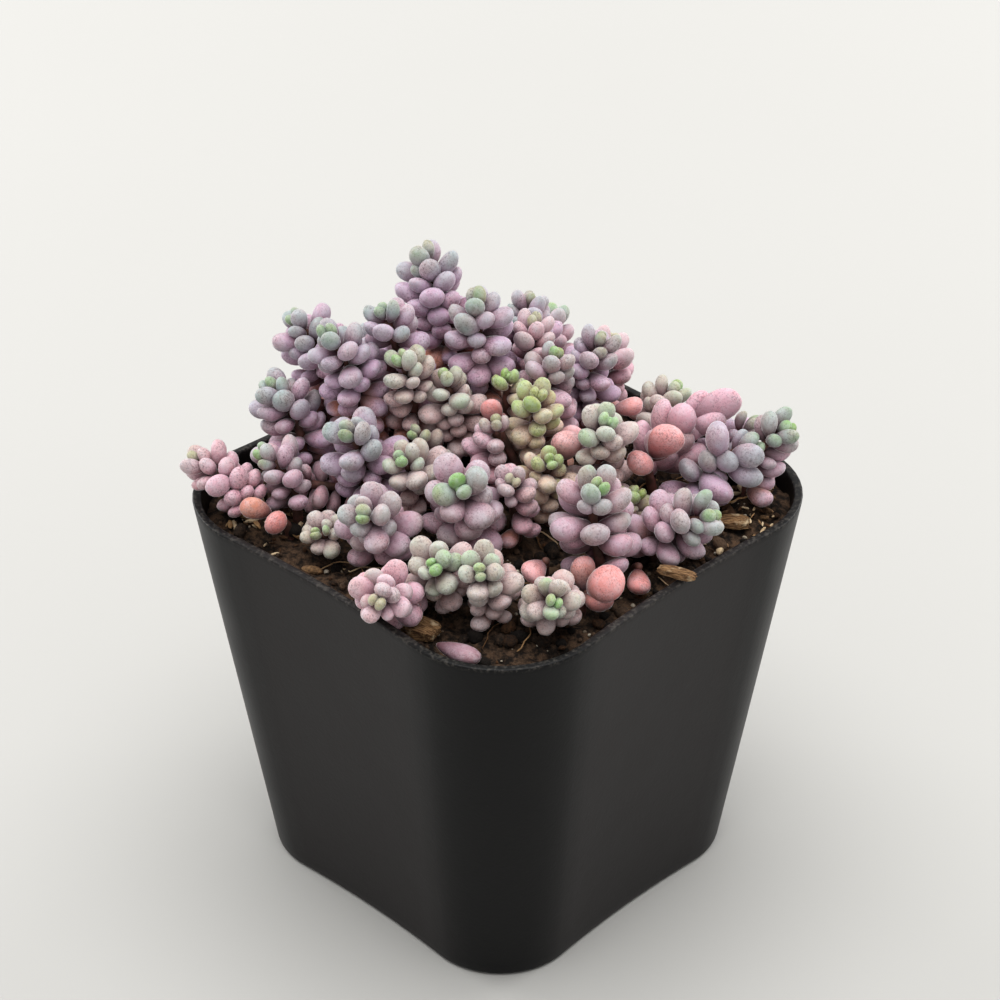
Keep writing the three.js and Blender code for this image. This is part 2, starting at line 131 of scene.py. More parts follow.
LOWER_FULLNESS = 1.04
LEAF_STRETCH = 1.1
BUD_LENGTH = 0.62
BUD_DROP = 0.3
FIRST_PAIR = 0.2
LEAF_SHARES = (0.78, 0.94, 1)
LEAF_SPACINGS = (0.32, 0.44, 0.5)
LEAF_ANGLES = (40, 62, 82, 94)
TURN_SPREAD = 24
ANGLE_SPREAD = 14
SMALLEST_DRAWN = 0.92
LENGTH_SPREAD = 0.16
LEAF_SIZES_TRIED = (1, 0.88, 0.76, 0.64)
BARK_OWNER = -1
BARK_ROOM = 0.38

# A leaf's age goes from 0 in the heart to 1
PAIR_AGE = 0.34
PAIR_AGING = 0.13
OLD_AGE = 0.7
BEAD_AGES = (0.25, 1)

# The youngest pairs at the tip, which the solids leave out: share of the longest leaf, place and opening
YOUNG_PAIRS = ((0.3, -0.02, 7), (0.52, 0.06, 18))
YOUNG_TURNS = 14
YOUNG_OPENINGS = 5
YOUNG_LENGTHS = (0.88, 1.12)
YOUNG_AGING = 0.12

# Further leaves where the ends of a stem's leaves stand apart. Their opening, length and age follow from how
# many leaf lengths down they start
SETTLED_SHARE = 0.96
EXTRA_FIRST = 0.22
EXTRA_LAST = 0.9
EXTRA_STEP = 0.35
EXTRA_TURNS = 9
GOLDEN_TURN = math.radians(137.5)
OPENINGS = ((0.2, 36), (0.45, 54), (0.8, 70), (1.25, 82), (2.5, 94))
OPENING_SPREAD = 7
EXTRA_LENGTH, LENGTH_GAIN = 0.8, 0.25
EXTRA_LENGTHS = (0.86, 1.04)
EXTRA_AGE, AGE_GAIN = 0.3, 0.26
EXTRA_AGES = (-0.05, 0.08)
EXTRA_SIZES_TRIED = (0.96, 0.86, 0.76)
EXTRA_GAP = 0.08
END_SPACING = 0.74

# Seeds of the draws
DRAW_FACTOR = 16807
DRAW_RANGE = 2147483647
LEAF_SEED = 7919
EXTRA_SEED = 11
BEAD_SEED = 144
SHAPE_SEED = 1000
BARK_SEED = 40
FALLEN_SEED = 3
FIBRE_SEED = 9

# A bundle has narrow leaves that stand close together; an old stem ends in a full leaf, a young one in a bud
Stem = namedtuple("Stem", "tip root longest pairs turn tint breadth spread bud",
                  defaults=(LEAF_WIDTH, 1, BUD_LENGTH))
OLD = {"breadth": 0.95, "spread": 1.5, "bud": 1}
BUNDLE = {"breadth": 0.68, "spread": 0.55, "bud": 1}
STEMS = {
    "left_corner": Stem((-21.4, -21.3, 47.6), (-15.8, -19.2), 3.5, 4, 20, "pink"),
    "left_low": Stem((-16.4, -16.4, 48.4), (-13.4, -15.6), 3.3, 5, 60, "mauve"),
    "left_upper": Stem((-20.6, -11.4, 52.2), (-17.4, -10.8), 3.9, 4, 10, "lavender"),
    "left_middle": Stem((-8.6, -12, 52.2), (-9, -10.4), 4.3, 4, 35, "lavender"),
    "left_creeper": Stem((-15, -14.2, 45.2), (-10.6, -8.4), 3.2, 6, 0, "pink"),
    "left_front": Stem((-0.5, -17.8, 49.3), (-2.6, -14.4), 4.1, 4, 15, "mauve"),
    "left_bud": Stem((-6.6, -18.6, 44.8), (-7.2, -16.6), 2.8, 2, 40, "sage"),
    "left_rim": Stem((8.8, -25.2, 47.6), (5.2, -20.6), 3.5, 3, 70, "pink"),
    "left_pink": Stem((-13, -19.6, 44.8), (-12.2, -17.8), 3.8, 1, 0, "salmon", **OLD),
    "back_tallest": Stem((-16.6, 6.6, 62), (-14.4, 7.8), 4.0, 6, 30, "lavender"),
    "back_left_high": Stem((-22.4, -6.2, 57.4), (-19.6, -5), 3.7, 6, 50, "lavender"),
    "back_left": Stem((-15.6, -7.8, 59), (-15, -5.8), 3.7, 5, 0, "lavender"),
    "back_middle": Stem((-13.8, -2.2, 60), (-14.2, -0.4), 3.5, 5, 70, "lavender"),
    "back_cream": Stem((-9.4, -4, 57), (-10.4, -2.2), 3.3, 3, 15, "sage"),
    "back_centre": Stem((-8.6, 5.8, 60), (-8.8, 7), 4.1, 6, 45, "lavender"),
    "back_right_tall": Stem((-11, 16, 55), (-10.6, 15.6), 3.5, 5, 20, "lavender"),
    "back_pale": Stem((-6.6, 12, 55.6), (-6.2, 12.4), 3.3, 3, 0, "pink"),
    "back_edge": Stem((-0.8, 15.6, 54.5), (-2, 16.4), 3.5, 4, 60, "lavender"),
    "back_lavender": Stem((-1.2, 9.4, 55), (-2, 9.4), 3.4, 4, 35, "mauve"),
    "centre_rose": Stem((-1.4, 1.4, 51), (1.7, 2.2), 3.8, 1, 30, "salmon", **OLD),
    "centre_blush": Stem((5, 4.4, 48.6), (4.6, 5.8), 4.4, 1, 70, "salmon", **OLD),
    "back_ivory": Stem((-6.4, -0.8, 54.6), (-7, 1), 3.4, 4, 75, "sage"),
    "green_left": Stem((-2.8, 4.4, 54), (-3.6, 5), 3.5, 3, 10, "green"),
    "green_right": Stem((2.2, 3.4, 54.4), (1.2, 5), 3.6, 3, 50, "green"),
    "centre_green": Stem((4.6, -9.8, 50.8), (2.4, -7.2), 4.8, 5, 30, "mauve"),
    "centre_bud": Stem((-6.6, -5, 50), (-6.8, -3.4), 3, 3, 20, "sage"),
    "centre_left": Stem((-3.4, -9.8, 50.6), (-3.8, -7.2), 3.5, 4, 60, "sage"),
    "centre_pale": Stem((0.2, -0.4, 52), (-0.6, 0.8), 3.4, 4, 5, "pink"),
    "centre_small": Stem((6.6, 0.4, 50), (5.6, 1.6), 3.2, 3, 0, "green"),
    "centre_high": Stem((9.6, 5.4, 53.6), (8.2, 6.6), 3.9, 4, 45, "sage"),
    "front_coral": Stem((18.6, -6.2, 44), (17.8, -6.6), 4.6, 1, 40, "salmon", **OLD),
    "centre_large": Stem((15.6, -2.2, 52), (17.2, -2.8), 4.3, 6, 15, "mauve"),
    "centre_column": Stem((6.4, -4.6, 50), (5.8, -3.2), 3.1, 4, 60, "pink"),
    "front_green": Stem((9.2, -18.2, 48.2), (7.6, -15.4), 3.5, 4, 45, "sage"),
    "front_column": Stem((13.6, -16.4, 48.6), (12.4, -14), 3.7, 6, 10, "sage"),
    "front_right": Stem((20, -13.2, 47), (17.4, -10.6), 3.2, 4, 70, "sage"),
    "front_salmon": Stem((14.6, -8.2, 46.6), (12.6, -6.4), 5, 1, 30, "salmon", **OLD),
    "right_crest": Stem((11, 17, 49.4), (8.4, 14.2), 6, 2, 40, "pink", **BUNDLE),
    "right_inner": Stem((11.6, 10.6, 48.8), (11.4, 11.4), 4.6, 1, 0, "salmon", **OLD),
    "right_middle": Stem((17.6, 17.2, 49.2), (13.4, 14.6), 5.2, 5, 20, "lavender"),
    "right_far": Stem((14.8, 21.2, 48.6), (13.4, 18.8), 3.8, 4, 55, "lavender"),
    "right_edge": Stem((19.6, 20.8, 50.4), (17.8, 18.4), 3.8, 6, 25, "mauve"),
    "right_front": Stem((21.8, 6.4, 48), (17.2, 4.6), 4.0, 5, 65, "mauve"),
    "right_shoot": Stem((12.6, 6.4, 46), (12.4, 5.6), 2.8, 2, 0, "green"),
    "right_long": Stem((19.8, -0.2, 44.4), (17.8, 1.2), 4.4, 1, 80, "salmon", **OLD),
    "back_salmon": Stem((3, 14.2, 50), (3.2, 13.6), 4.2, 2, 50, "salmon", **OLD),
    "rear_left": Stem((-22, 4.4, 52), (-19.8, 3.8), 3.5, 5, 0, "lavender"),
    "rear_corner": Stem((-20.4, 17.6, 49), (-18.2, 16), 3.7, 3, 30, "lavender"),
    "rear_side": Stem((-21.6, 11, 50.6), (-18.8, 10.6), 3.5, 3, 60, "mauve"),
    "rear_middle": Stem((-13.4, 21.6, 50), (-12.2, 19.8), 3.7, 3, 15, "mauve"),
    "rear_right": Stem((-4.6, 21.6, 50.2), (-4.4, 20.2), 3.8, 3, 75, "pink"),
    "rear_edge": Stem((4.4, 21.2, 48.2), (4, 19.8), 3.5, 3, 40, "sage"),
}

Bark = namedtuple("Bark", "at size turn")
BARK_BITS = {
    "bark_right": Bark((20.2, 13.6), (3.6, 2.2, 1), 35),
    "bark_inner": Bark((12.4, 17), (2.6, 1.6, 0.9), 100),
    "bark_front": Bark((9.6, -20.6), (4.2, 3, 1.6), 15),
    "bark_left": Bark((-18.8, -17.2), (2.4, 1.6, 0.8), 70),
    "bark_rim": Bark((24, 0.6), (4.4, 1.4, 0.9), 20),
}

# Loose bits, root fibres and a fallen leaf
BIT_ROOM = 0.9
BIT_GAP = 0.5
BIT_HEAP = 0.9
BIT_RISE = 0.25
BIT_TILT = 0.35
BIT_RAGGEDNESS = (0.72, 1.15)
BARK_INSET = 0.86
BARK_CUTS = 7
BARK_TILT = 0.06
FALLEN_HEADING = math.radians(12)
FALLEN_LENGTH = 4.6
FALLEN_BREADTH = 0.56
FALLEN_AGE = 0.6
FALLEN_SHAPE = (0.1, 0.04)
FIBRE_PLACES = (-20, 20)
FIBRE_INSET = 2.2
FIBRE_STEPS = 12
FIBRE_STEP = 0.55
FIBRE_BEND = 0.5
FIBRE_LIFTS = (0.3, 0.8)
FIBRE_RADII = (0.05, 0.11)
FIBRE_SIDES = 6
FIBRE_RISE = 0.2
FEWEST_POINTS = 5

# Stage: places in metres, the camera's lens and sensor in millimetres
FLOOR_REACH = 4
FLOOR_CLOUD = (0.5, 0.5, 0.49)
SKY_TONE = (1, 0.998, 0.992, 1)
VIEW_GAMMA = 0.9
CAMERA_AZIMUTH = math.radians(44.1)
CAMERA_ELEVATION = math.radians(33)
CAMERA_DISTANCE = 0.3
CAMERA_SIDESTEP = 0.00022
CAMERA_LENS = 104.94
CAMERA_SENSOR = 36
AIM_HEIGHT = 0.0432
KEY_SPREAD = math.radians(60)
KEY_LEAN = 0.05
SIDE_LIGHT_WIDTH = 0.3
SIDE_LIGHT_ASIDE = 0.45
SIDE_LIGHT_BEHIND = 0.3
SIDE_LIGHT_RISE = 0.16

Leaf = namedtuple("Leaf", "start direction upper length breadth age")
Ball = namedtuple("Ball", "centre radius")


def make_draw(seed):
    """Seeded draws from 0 to 1, each worked out from the one before."""
    state = seed

    def draw():
        nonlocal state
        state = state * DRAW_FACTOR % DRAW_RANGE
        return state / DRAW_RANGE

    return draw


def pot_half(z):
    """The pot's half width at a height."""
    return (POT_BASE + (POT_TOP - POT_BASE) * z / POT_HEIGHT) / 2


def soil_hump(x, y):
    """Height of the uneven soil: low humps, and mounds under the plant and in two corners."""
    height, wave_x, wave_y, shift_x, shift_y = HUMP
    hump = height * math.sin(wave_x * x + shift_x) * math.cos(wave_y * y + shift_y)
    low, ripple_x, ripple_y = RIPPLE
    ripple = low * math.sin(ripple_x * x + ripple_y * y)
    mounds = sum(rise * math.exp(-((math.dist((x, y), middle) / reach) ** 2))
                 for middle, rise, reach in SOIL_MOUNDS)
    return SOIL_LEVEL + hump + ripple + mounds


def soil_top(x, y):
    """Height of the soil's facets at a place: flat triangles between the grid's points."""
    cell = POT_TOP / SOIL_GRID
    left = math.floor((x + POT_TOP / 2) / cell) * cell - POT_TOP / 2
    front = math.floor((y + POT_TOP / 2) / cell) * cell - POT_TOP / 2
    share_x, share_y = (x - left) / cell, (y - front) / cell
    near = soil_hump(left, front)
    far = soil_hump(left + cell, front + cell)
    if share_y > share_x:
        corner = soil_hump(left, front + cell)
        return near + share_y * (corner - near) + share_x * (far - corner)
    corner = soil_hump(left + cell, front)
    return near + share_x * (corner - near) + share_y * (far - corner)


def cross_directions(along):
    """Two directions square to the stem and to each other."""
    side = Vector((0, 0, 1)).cross(along)
    if side.length < NEARLY_UPRIGHT:
        side = Vector((1, 0, 0))
    side.normalize()
    return side, along.cross(side)


class Shoot:
    """The line of a stem: straight up out of the soil, then over to its tip."""

    STEPS = 200

    def __init__(self, stem):
        ground = soil_top(*stem.root)
        self.foot = Vector((*stem.root, ground - ROOT_DEPTH))
        collar = Vector((*stem.root, ground + COLLAR_HEIGHT))
        tip = Vector(stem.tip)
        rise = tip.z - collar.z
        lean = Vector((0, 0, 1))
        for axis in (0, 1):
            outward = OUTWARD_LEAN * (stem.tip[axis] - PLANT_MIDDLE[axis])
            lean[axis] = (stem.tip[axis] - stem.root[axis]) / rise + outward
        lean.normalize()
        lower = collar + Vector((0, 0, UPRIGHT_SHARE * rise))
        upper = tip - lean * LEANING_SHARE * (collar - tip).length
        self.controls = (collar, lower, upper, tip)
        self.shares = [i / self.STEPS for i in range(self.STEPS + 1)]
        places = [self.bend(share) for share in self.shares]
        self.reach = [0.0]
        for before, after in zip(places, places[1:]):
            self.reach.append(self.reach[-1] + (after - before).length)
        self.length = self.reach[-1]

    def bend(self, share):
        """The curve's point at a share of its own run."""
        rest = 1 - share
        weights = (rest**3, 3 * rest * rest * share, 3 * rest * share * share, share**3)
        return sum((point * weight for point, weight in zip(self.controls, weights)), Vector())

    def share_at(self, part):
        """The curve's own run at a part of its length."""
        return float(np.interp(part * self.length, self.reach, self.shares))

    def point(self, part):
        """The place at a part of the length, from the collar to the tip."""
        return self.bend(self.share_at(part))

    def along(self, part):
        """The direction of growth at a part of the length."""
        share = self.share_at(part)
        rest = 1 - share
        weights = (rest * rest, 2 * rest * share, share * share)
        steps = [after - before for before, after in zip(self.controls, self.controls[1:])]
        return sum((step * weight for step, weight in zip(steps, weights)), Vector()).normalized()

    def whole_line(self, spacing):
        """Points all along the stem, its buried foot included."""
        collar = self.controls[0]
        buried = (collar - self.foot).length
        whole = buried + self.length
        steps = math.ceil(whole / spacing)
        points = []
        for i in range(steps + 1):
            reach = whole * i / steps
            if reach < buried:
                points.append(self.foot.lerp(collar, reach / buried))
            else:
                points.append(self.point((reach - buried) / self.length))
        return points

    def leaf(self, below, turn, opening, length, breadth, age):
        """A leaf that starts below the tip, turned round the stem and opened away from it."""
        part = 1 - below / self.length
        along = self.along(part)
        side, across = cross_directions(along)
        out = side * math.cos(turn) + across * math.sin(turn)
        direction = along * math.cos(opening) + out * math.sin(opening)
        return Leaf(self.point(part), direction, along, length, breadth, age)


def nth(values, place):
    """The value at a place, or the last one."""
    return values[min(place, len(values) - 1)]


def grow_leaves(stem, shoot, number):
    """A stem's bud and its pairs of leaves, from the tip down. A young bud has no age, and doesn't show."""
    draw = make_draw(LEAF_SEED * (number + 1))
    old = stem.bud == 1
    upward = shoot.along(1)
    bud = Leaf(shoot.point(1) - upward * BUD_DROP, upward, upward, stem.bud * stem.longest, stem.breadth,
               OLD_AGE if old else None)
    leaves = [bud]
    below = FIRST_PAIR * stem.longest
    for pair in range(stem.pairs):
        if below >= shoot.length:
            break
        size = stem.longest * nth(LEAF_SHARES, pair)
        for opposite in (0, math.pi):
            turn = math.radians(stem.turn + 90 * pair + TURN_SPREAD * (draw() - 0.5)) + opposite
            opening = math.radians(stem.spread * nth(LEAF_ANGLES, pair) + ANGLE_SPREAD * (draw() - 0.5))
            length = size * (SMALLEST_DRAWN + LENGTH_SPREAD * draw())
            age = OLD_AGE if old else PAIR_AGE + PAIR_AGING * pair
            leaves.append(shoot.leaf(below, turn, opening, length, stem.breadth, age))
        below += nth(LEAF_SPACINGS, pair) * size
    return leaves


def leaf_balls(leaf):
    """The balls that stand for a leaf while room is being looked for."""
    radius = leaf.breadth * leaf.length / 2
    return [Ball(leaf.start + leaf.direction * (LEAF_STALK + part * leaf.length), share * radius)
            for part, share in LEAF_BALLS]


def outside_rim(x, y):
    """How far a place lies outside the pot's rim, or less than nothing inside it."""
    flat = POT_TOP / 2 - POT_CORNER
    return math.hypot(max(abs(x) - flat, 0), max(abs(y) - flat, 0)) - POT_CORNER


def resting_height(x, y):
    """Height of what a loose bit lies on: the rim near the wall, the soil elsewhere."""
    return POT_HEIGHT if outside_rim(x, y) > -RIM_REACH else soil_top(x, y)


class Room:
    """The balls that are in place already, each with the number of its stem."""

    LIMIT = 20000

    def __init__(self):
        self.centres = np.empty((self.LIMIT, 3))
        self.radii = np.empty(self.LIMIT)
        self.owners = np.empty(self.LIMIT, int)
        self.count = 0

    def take(self, balls, owner):
        """Fills the room of some balls."""
        for ball in balls:
            self.centres[self.count] = ball.centre
            self.radii[self.count] = ball.radius
            self.owners[self.count] = owner
            self.count += 1

    def distances(self, ball):
        """How far a ball's middle is from each ball in place."""
        return np.linalg.norm(self.centres[: self.count] - np.array(ball.centre), axis=1)

    def clear(self, ball, owner, swell, gap):
        """Whether a ball stays off the soil, the pot and every other stem."""
        x, y, z = ball.centre
        room = ball.radius * swell + gap
        if z - room < soil_top(x, y):
            return False
        if z - room <= POT_HEIGHT and outside_rim(x, y) >= -RIM_REACH - room:
            return False
        needed = (self.radii[: self.count] + ball.radius) * swell + gap
        others = self.owners[: self.count] != owner
        return not np.any(others & (self.distances(ball) <= needed))


def fill_with_hard_parts(room, shoots):
    """Bark and stems take their room before any leaf does."""
    for at, size, _ in BARK_BITS.values():
        room.take([Ball(Vector((*at, resting_height(*at))), BARK_ROOM * size[0])], BARK_OWNER)
    for owner, shoot in enumerate(shoots):
        room.take([Ball(place, STEM_RADIUS) for place in shoot.whole_line(STEM_BALLS_APART)], owner)


def settle_leaves(shoots):
    """Every stem's leaves after each has found its room, some smaller and some left off."""
    room = Room()
    fill_with_hard_parts(room, shoots)
    settled = []
    for owner, (stem, shoot) in enumerate(zip(STEMS.values(), shoots)):
        kept = []
        for leaf in grow_leaves(stem, shoot, owner):
            for share in LEAF_SIZES_TRIED:
                tried = leaf._replace(length=leaf.length * share)
                balls = leaf_balls(tried)
                if all(room.clear(ball, owner, LEAF_ROOM, GAP) for ball in balls):
                    kept.append(tried)
                    room.take(balls, owner)
                    break
        settled.append(kept)
    return settled


def drawn_in(leaf):
    """A settled leaf made a little shorter, with its tip nearly where it was."""
    if leaf.breadth != LEAF_WIDTH:
        return leaf
    length = SETTLED_SHARE * leaf.length
    return leaf._replace(length=length, start=leaf.start + leaf.direction * 0.5 * (leaf.length - length))


def leaf_end(leaf):
    """The middle of a leaf's plump end."""
    return leaf.start + leaf.direction * (LEAF_STALK + LEAF_END * leaf.length)


def ends_apart(leaf, leaves):
    """How far a leaf's end is from the nearest of some others, against their mean width."""
    end = leaf_end(leaf)
    return min(((end - leaf_end(other)).length / (leaf.breadth * (leaf.length + other.length) / 2)
                for other in leaves), default=1)


def place_extra(shoot, room, owner, leaves, below, turn, opening, length, breadth, age):
    """One more leaf on a stem where its end has room, in the largest size that fits, or None."""
    for share in EXTRA_SIZES_TRIED:
        leaf = shoot.leaf(below, turn, opening, length * share, breadth, age)
        if ends_apart(leaf, leaves) < END_SPACING:
            continue
        balls = leaf_balls(leaf)
        if all(room.clear(ball, owner, 1, EXTRA_GAP) for ball in balls):
            room.take(balls, owner)
            return leaf
    return None


def young_leaves(stem, shoot, chance):
    """The pairs of young leaves that close round a growing tip."""
    leaves = []
    for step, (share, place, opening) in enumerate(YOUNG_PAIRS):
        for opposite in (0, math.pi):
            across = 90 * (len(YOUNG_PAIRS) - step)
            turn = math.radians(stem.turn + across + chance.uniform(-YOUNG_TURNS, YOUNG_TURNS)) + opposite
            length = share * stem.longest * chance.uniform(*YOUNG_LENGTHS)
            opened = math.radians(opening + chance.uniform(-YOUNG_OPENINGS, YOUNG_OPENINGS))
            age = YOUNG_AGING * step
            leaves.append(shoot.leaf(place * stem.longest, turn, opened, length, stem.breadth, age))
    return leaves


def dress_stem(stem, shoot, owner, kept, room):
    """A stem's leaves as they show: the kept ones, young ones at the tip, and more between and below."""
    if stem.breadth > LEAF_WIDTH:
        age = random.Random(owner + BEAD_SEED).uniform(*BEAD_AGES)
        return [leaf._replace(age=age) for leaf in kept]
    chance = random.Random(owner + EXTRA_SEED)
    leaves = kept if stem.bud == 1 else kept + young_leaves(stem, shoot, chance)
    places, openings = zip(*OPENINGS)
    below = EXTRA_FIRST * stem.longest
    turn = math.radians(stem.turn)
    while below < shoot.length - EXTRA_LAST:
        down = below / stem.longest
        for _ in range(EXTRA_TURNS):
            turn += GOLDEN_TURN
            opening = stem.spread * float(np.interp(down, places, openings))
            opening += chance.uniform(-OPENING_SPREAD, OPENING_SPREAD)
            length = stem.longest * min(EXTRA_LENGTH + LENGTH_GAIN * down, 1) * chance.uniform(*EXTRA_LENGTHS)
            age = min(EXTRA_AGE + AGE_GAIN * down + chance.uniform(*EXTRA_AGES), 1)
            leaf = place_extra(shoot, room, owner, leaves, below, turn, math.radians(opening), length,
                               stem.breadth, age)
            if leaf:
                leaves.append(leaf)
        below += EXTRA_STEP
    return leaves


def grow_plant():
    """All stems with the leaves that show on them."""
    shoots = [Shoot(stem) for stem in STEMS.values()]
    settled = [[drawn_in(leaf) for leaf in kept if leaf.age is not None] for kept in settle_leaves(shoots)]
    room = Room()
    fill_with_hard_parts(room, shoots)
    for owner, kept in enumerate(settled):
        for leaf in kept:
            room.take(leaf_balls(leaf), owner)
    dressed = [dress_stem(stem, shoots[owner], owner, settled[owner], room)
               for owner, stem in enumerate(STEMS.values())]
    return shoots, dressed


# Mesh helpers


def growth_mesh():
    """A mesh under work, and the layer that tells a finish its points' place, age and chance."""
    bm = bmesh.new()
    return bm, bm.verts.layers.float_vector.new("growth")


def to_mesh(bm, name):
    """A mesh from the one under work."""
    mesh = bpy.data.meshes.new(name)
    bm.to_mesh(mesh)
    bm.free()
    return mesh


def to_object(name, data):
    """A new object of the scene."""
    item = bpy.data.objects.new(name, data)
    bpy.context.scene.collection.objects.link(item)
    return item


def finish_piece(bm, name, finishes, replaced=(), subdivision=0):
    """Turns a mesh under work into a smooth piece that stands for its nodes of the frame."""
    mesh = to_mesh(bm, name)
    mesh.shade_smooth()
    for finish in finishes:
        mesh.materials.append(finish)
    piece = to_object(name, mesh)
    if subdivision:
        rounding = piece.modifiers.new("Rounding", "SUBSURF")
        rounding.levels = subdivision
        rounding.render_levels = subdivision
    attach(piece, "root")
    if replaced:
        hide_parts(*replaced)


def only(kind, items):
    """The items of one kind, such as the points of what was just extruded."""
    return [item for item in items if isinstance(item, kind)]


def open_edges(bm):
    """The edges with a face on one side alone."""
    return [edge for edge in bm.edges if edge.is_boundary]


def level_edges(bm, z):
    """The edges that lie at a height."""
    return [edge for edge in bm.edges if all(abs(vert.co.z - z) < SAME_PLACE for vert in edge.verts)]


def wall_edges(bm, z):
    """The edges at a height where a wall starts or ends."""
    return [edge for edge in level_edges(bm, z) if any(abs(face.normal.z) < 0.5 for face in edge.link_faces)]


def round_off(bm, edges, radius, segments, **options):
    """Rounds some edges."""
    bmesh.ops.bevel(bm, geom=edges, offset=radius, offset_type="OFFSET", segments=segments, profile=0.5,
                    affect="EDGES", material=-1, **options)


def pot_shell(bm, pot):
    """The pot as a block in its bowed and tapered outline, hollowed from its rim down to its floor."""
    half, corner = pot.top_width / 2, pot.corner
    flat = half - corner
    block = bmesh.ops.create_cube(bm, size=1)["verts"]
    bmesh.ops.scale(bm, vec=(2 * half, 2 * half, pot.height), verts=block)
    bmesh.ops.translate(bm, vec=(0, 0, pot.height / 2), verts=block)
    caps = [face for face in bm.faces if len({round(vert.co.z, 6) for vert in face.verts}) == 1]
    bmesh.ops.delete(bm, geom=caps, context="FACES_ONLY")
    uprights = [edge for edge in bm.edges if abs(edge.verts[0].co.z - edge.verts[1].co.z) > pot.height / 2]
    round_off(bm, uprights, corner, CORNER_STEPS, clamp_overlap=False)
    sides = [edge for edge in bm.edges if flat < edge.calc_length() < pot.height - MM]
    bmesh.ops.subdivide_edges(bm, edges=sides, cuts=SIDE_CUTS, use_grid_fill=True)
    for vert in bm.verts:
        for axis, other in ((0, 1), (1, 0)):
            if abs(vert.co[other]) < flat and abs(vert.co[axis]) > half - SAME_PLACE:
                bow = pot.side_bow * (1 - (vert.co[other] / flat) ** 2)
                vert.co[axis] -= math.copysign(bow, vert.co[axis])
        if vert.co.z < pot.height / 2:
            vert.co.xy *= pot.base_width / pot.top_width
    mouth = bmesh.ops.edgeloop_fill(bm, edges=level_edges(bm, pot.height))["faces"]
    bmesh.ops.inset_region(bm, faces=mouth, thickness=pot.wall, use_even_offset=True)
    made = bmesh.ops.extrude_face_region(bm, geom=mouth)["geom"]
    bmesh.ops.delete(bm, geom=mouth, context="FACES_ONLY")
    inside = only(BMVert, made)
    share = pot.floor / pot.height
    floor_half = (pot.base_width + (pot.top_width - pot.base_width) * share) / 2 - pot.wall
    for vert in inside:
        vert.co.xy *= floor_half / (half - pot.wall)
        vert.co.z = pot.floor
    lids = [face for face in only(BMFace, made) if all(vert in inside for vert in face.verts)]
    bmesh.ops.delete(bm, geom=lids, context="FACES_ONLY")


def tube(bm, points, radii, sides):
    """A closed round tube along a line of points."""
    directions = []
    for i, point in enumerate(points):
        before = points[max(i - 1, 0)]
        after = points[min(i + 1, len(points) - 1)]
        directions.append((after - before).normalized())
    turn = directions[0].to_track_quat("Z", "Y")
    ring = bmesh.ops.create_circle(bm, cap_ends=False, radius=radii[0], segments=sides,
                                   matrix=Matrix.LocRotScale(points[0], turn, None))["verts"]
    edges = list({edge for vert in ring for edge in vert.link_edges})
    first = edges
    faces = []
    for i in range(1, len(points)):
        made = bmesh.ops.extrude_edge_only(bm, edges=edges)["geom"]
        verts = only(BMVert, made)
        edges = [edge for edge in only(BMEdge, made) if all(vert in verts for vert in edge.verts)]
        faces += only(BMFace, made)
        bend = directions[i - 1].rotation_difference(directions[i])
        swell = radii[i] / radii[i - 1]
        move = (Matrix.Translation(points[i]) @ bend.to_matrix().to_4x4()
                @ Matrix.Scale(swell, 4) @ Matrix.Translation(-points[i - 1]))
        bmesh.ops.transform(bm, matrix=move, verts=verts)
    faces += bmesh.ops.holes_fill(bm, edges=first + edges, sides=sides)["faces"]
    return faces


# Finishes


def shade(red, green, blue):
    """A colour given by its red, green and blue from 0 to 255, as light."""
    shares = [value / 255 for value in (red, green, blue)]
    return tuple(share / 12.92 if share <= 0.04045 else ((share + 0.055) / 1.055) ** 2.4 for share in shares)


class Signal:
    """One output of a node, on which arithmetic adds Math nodes."""

    def __init__(self, finish, socket):
        self.finish = finish
        self.socket = socket

    def math(self, operation, *inputs):
        """A Math node on some inputs."""
        return self.finish.node("ShaderNodeMath", {"operation": operation}, dict(enumerate(inputs)))

    def __add__(self, other):
        return self.math("ADD", self, other)

    def __sub__(self, other):
        return self.math("SUBTRACT", self, other)

    def __rsub__(self, other):
        return self.math("SUBTRACT", other, self)

    def __mul__(self, other):
        return self.math("MULTIPLY", self, other)

    __radd__ = __add__
    __rmul__ = __mul__

    def size(self):
        """The value without its sign."""
        return self.math("ABSOLUTE", self)

    def between(self, low, high):
        """0 below one value, 1 above another, and smooth in between."""
        settings = {"interpolation_type": "SMOOTHSTEP", "clamp": True}
        return self.finish.node("ShaderNodeMapRange", settings, {0: self, 1: low, 2: high})


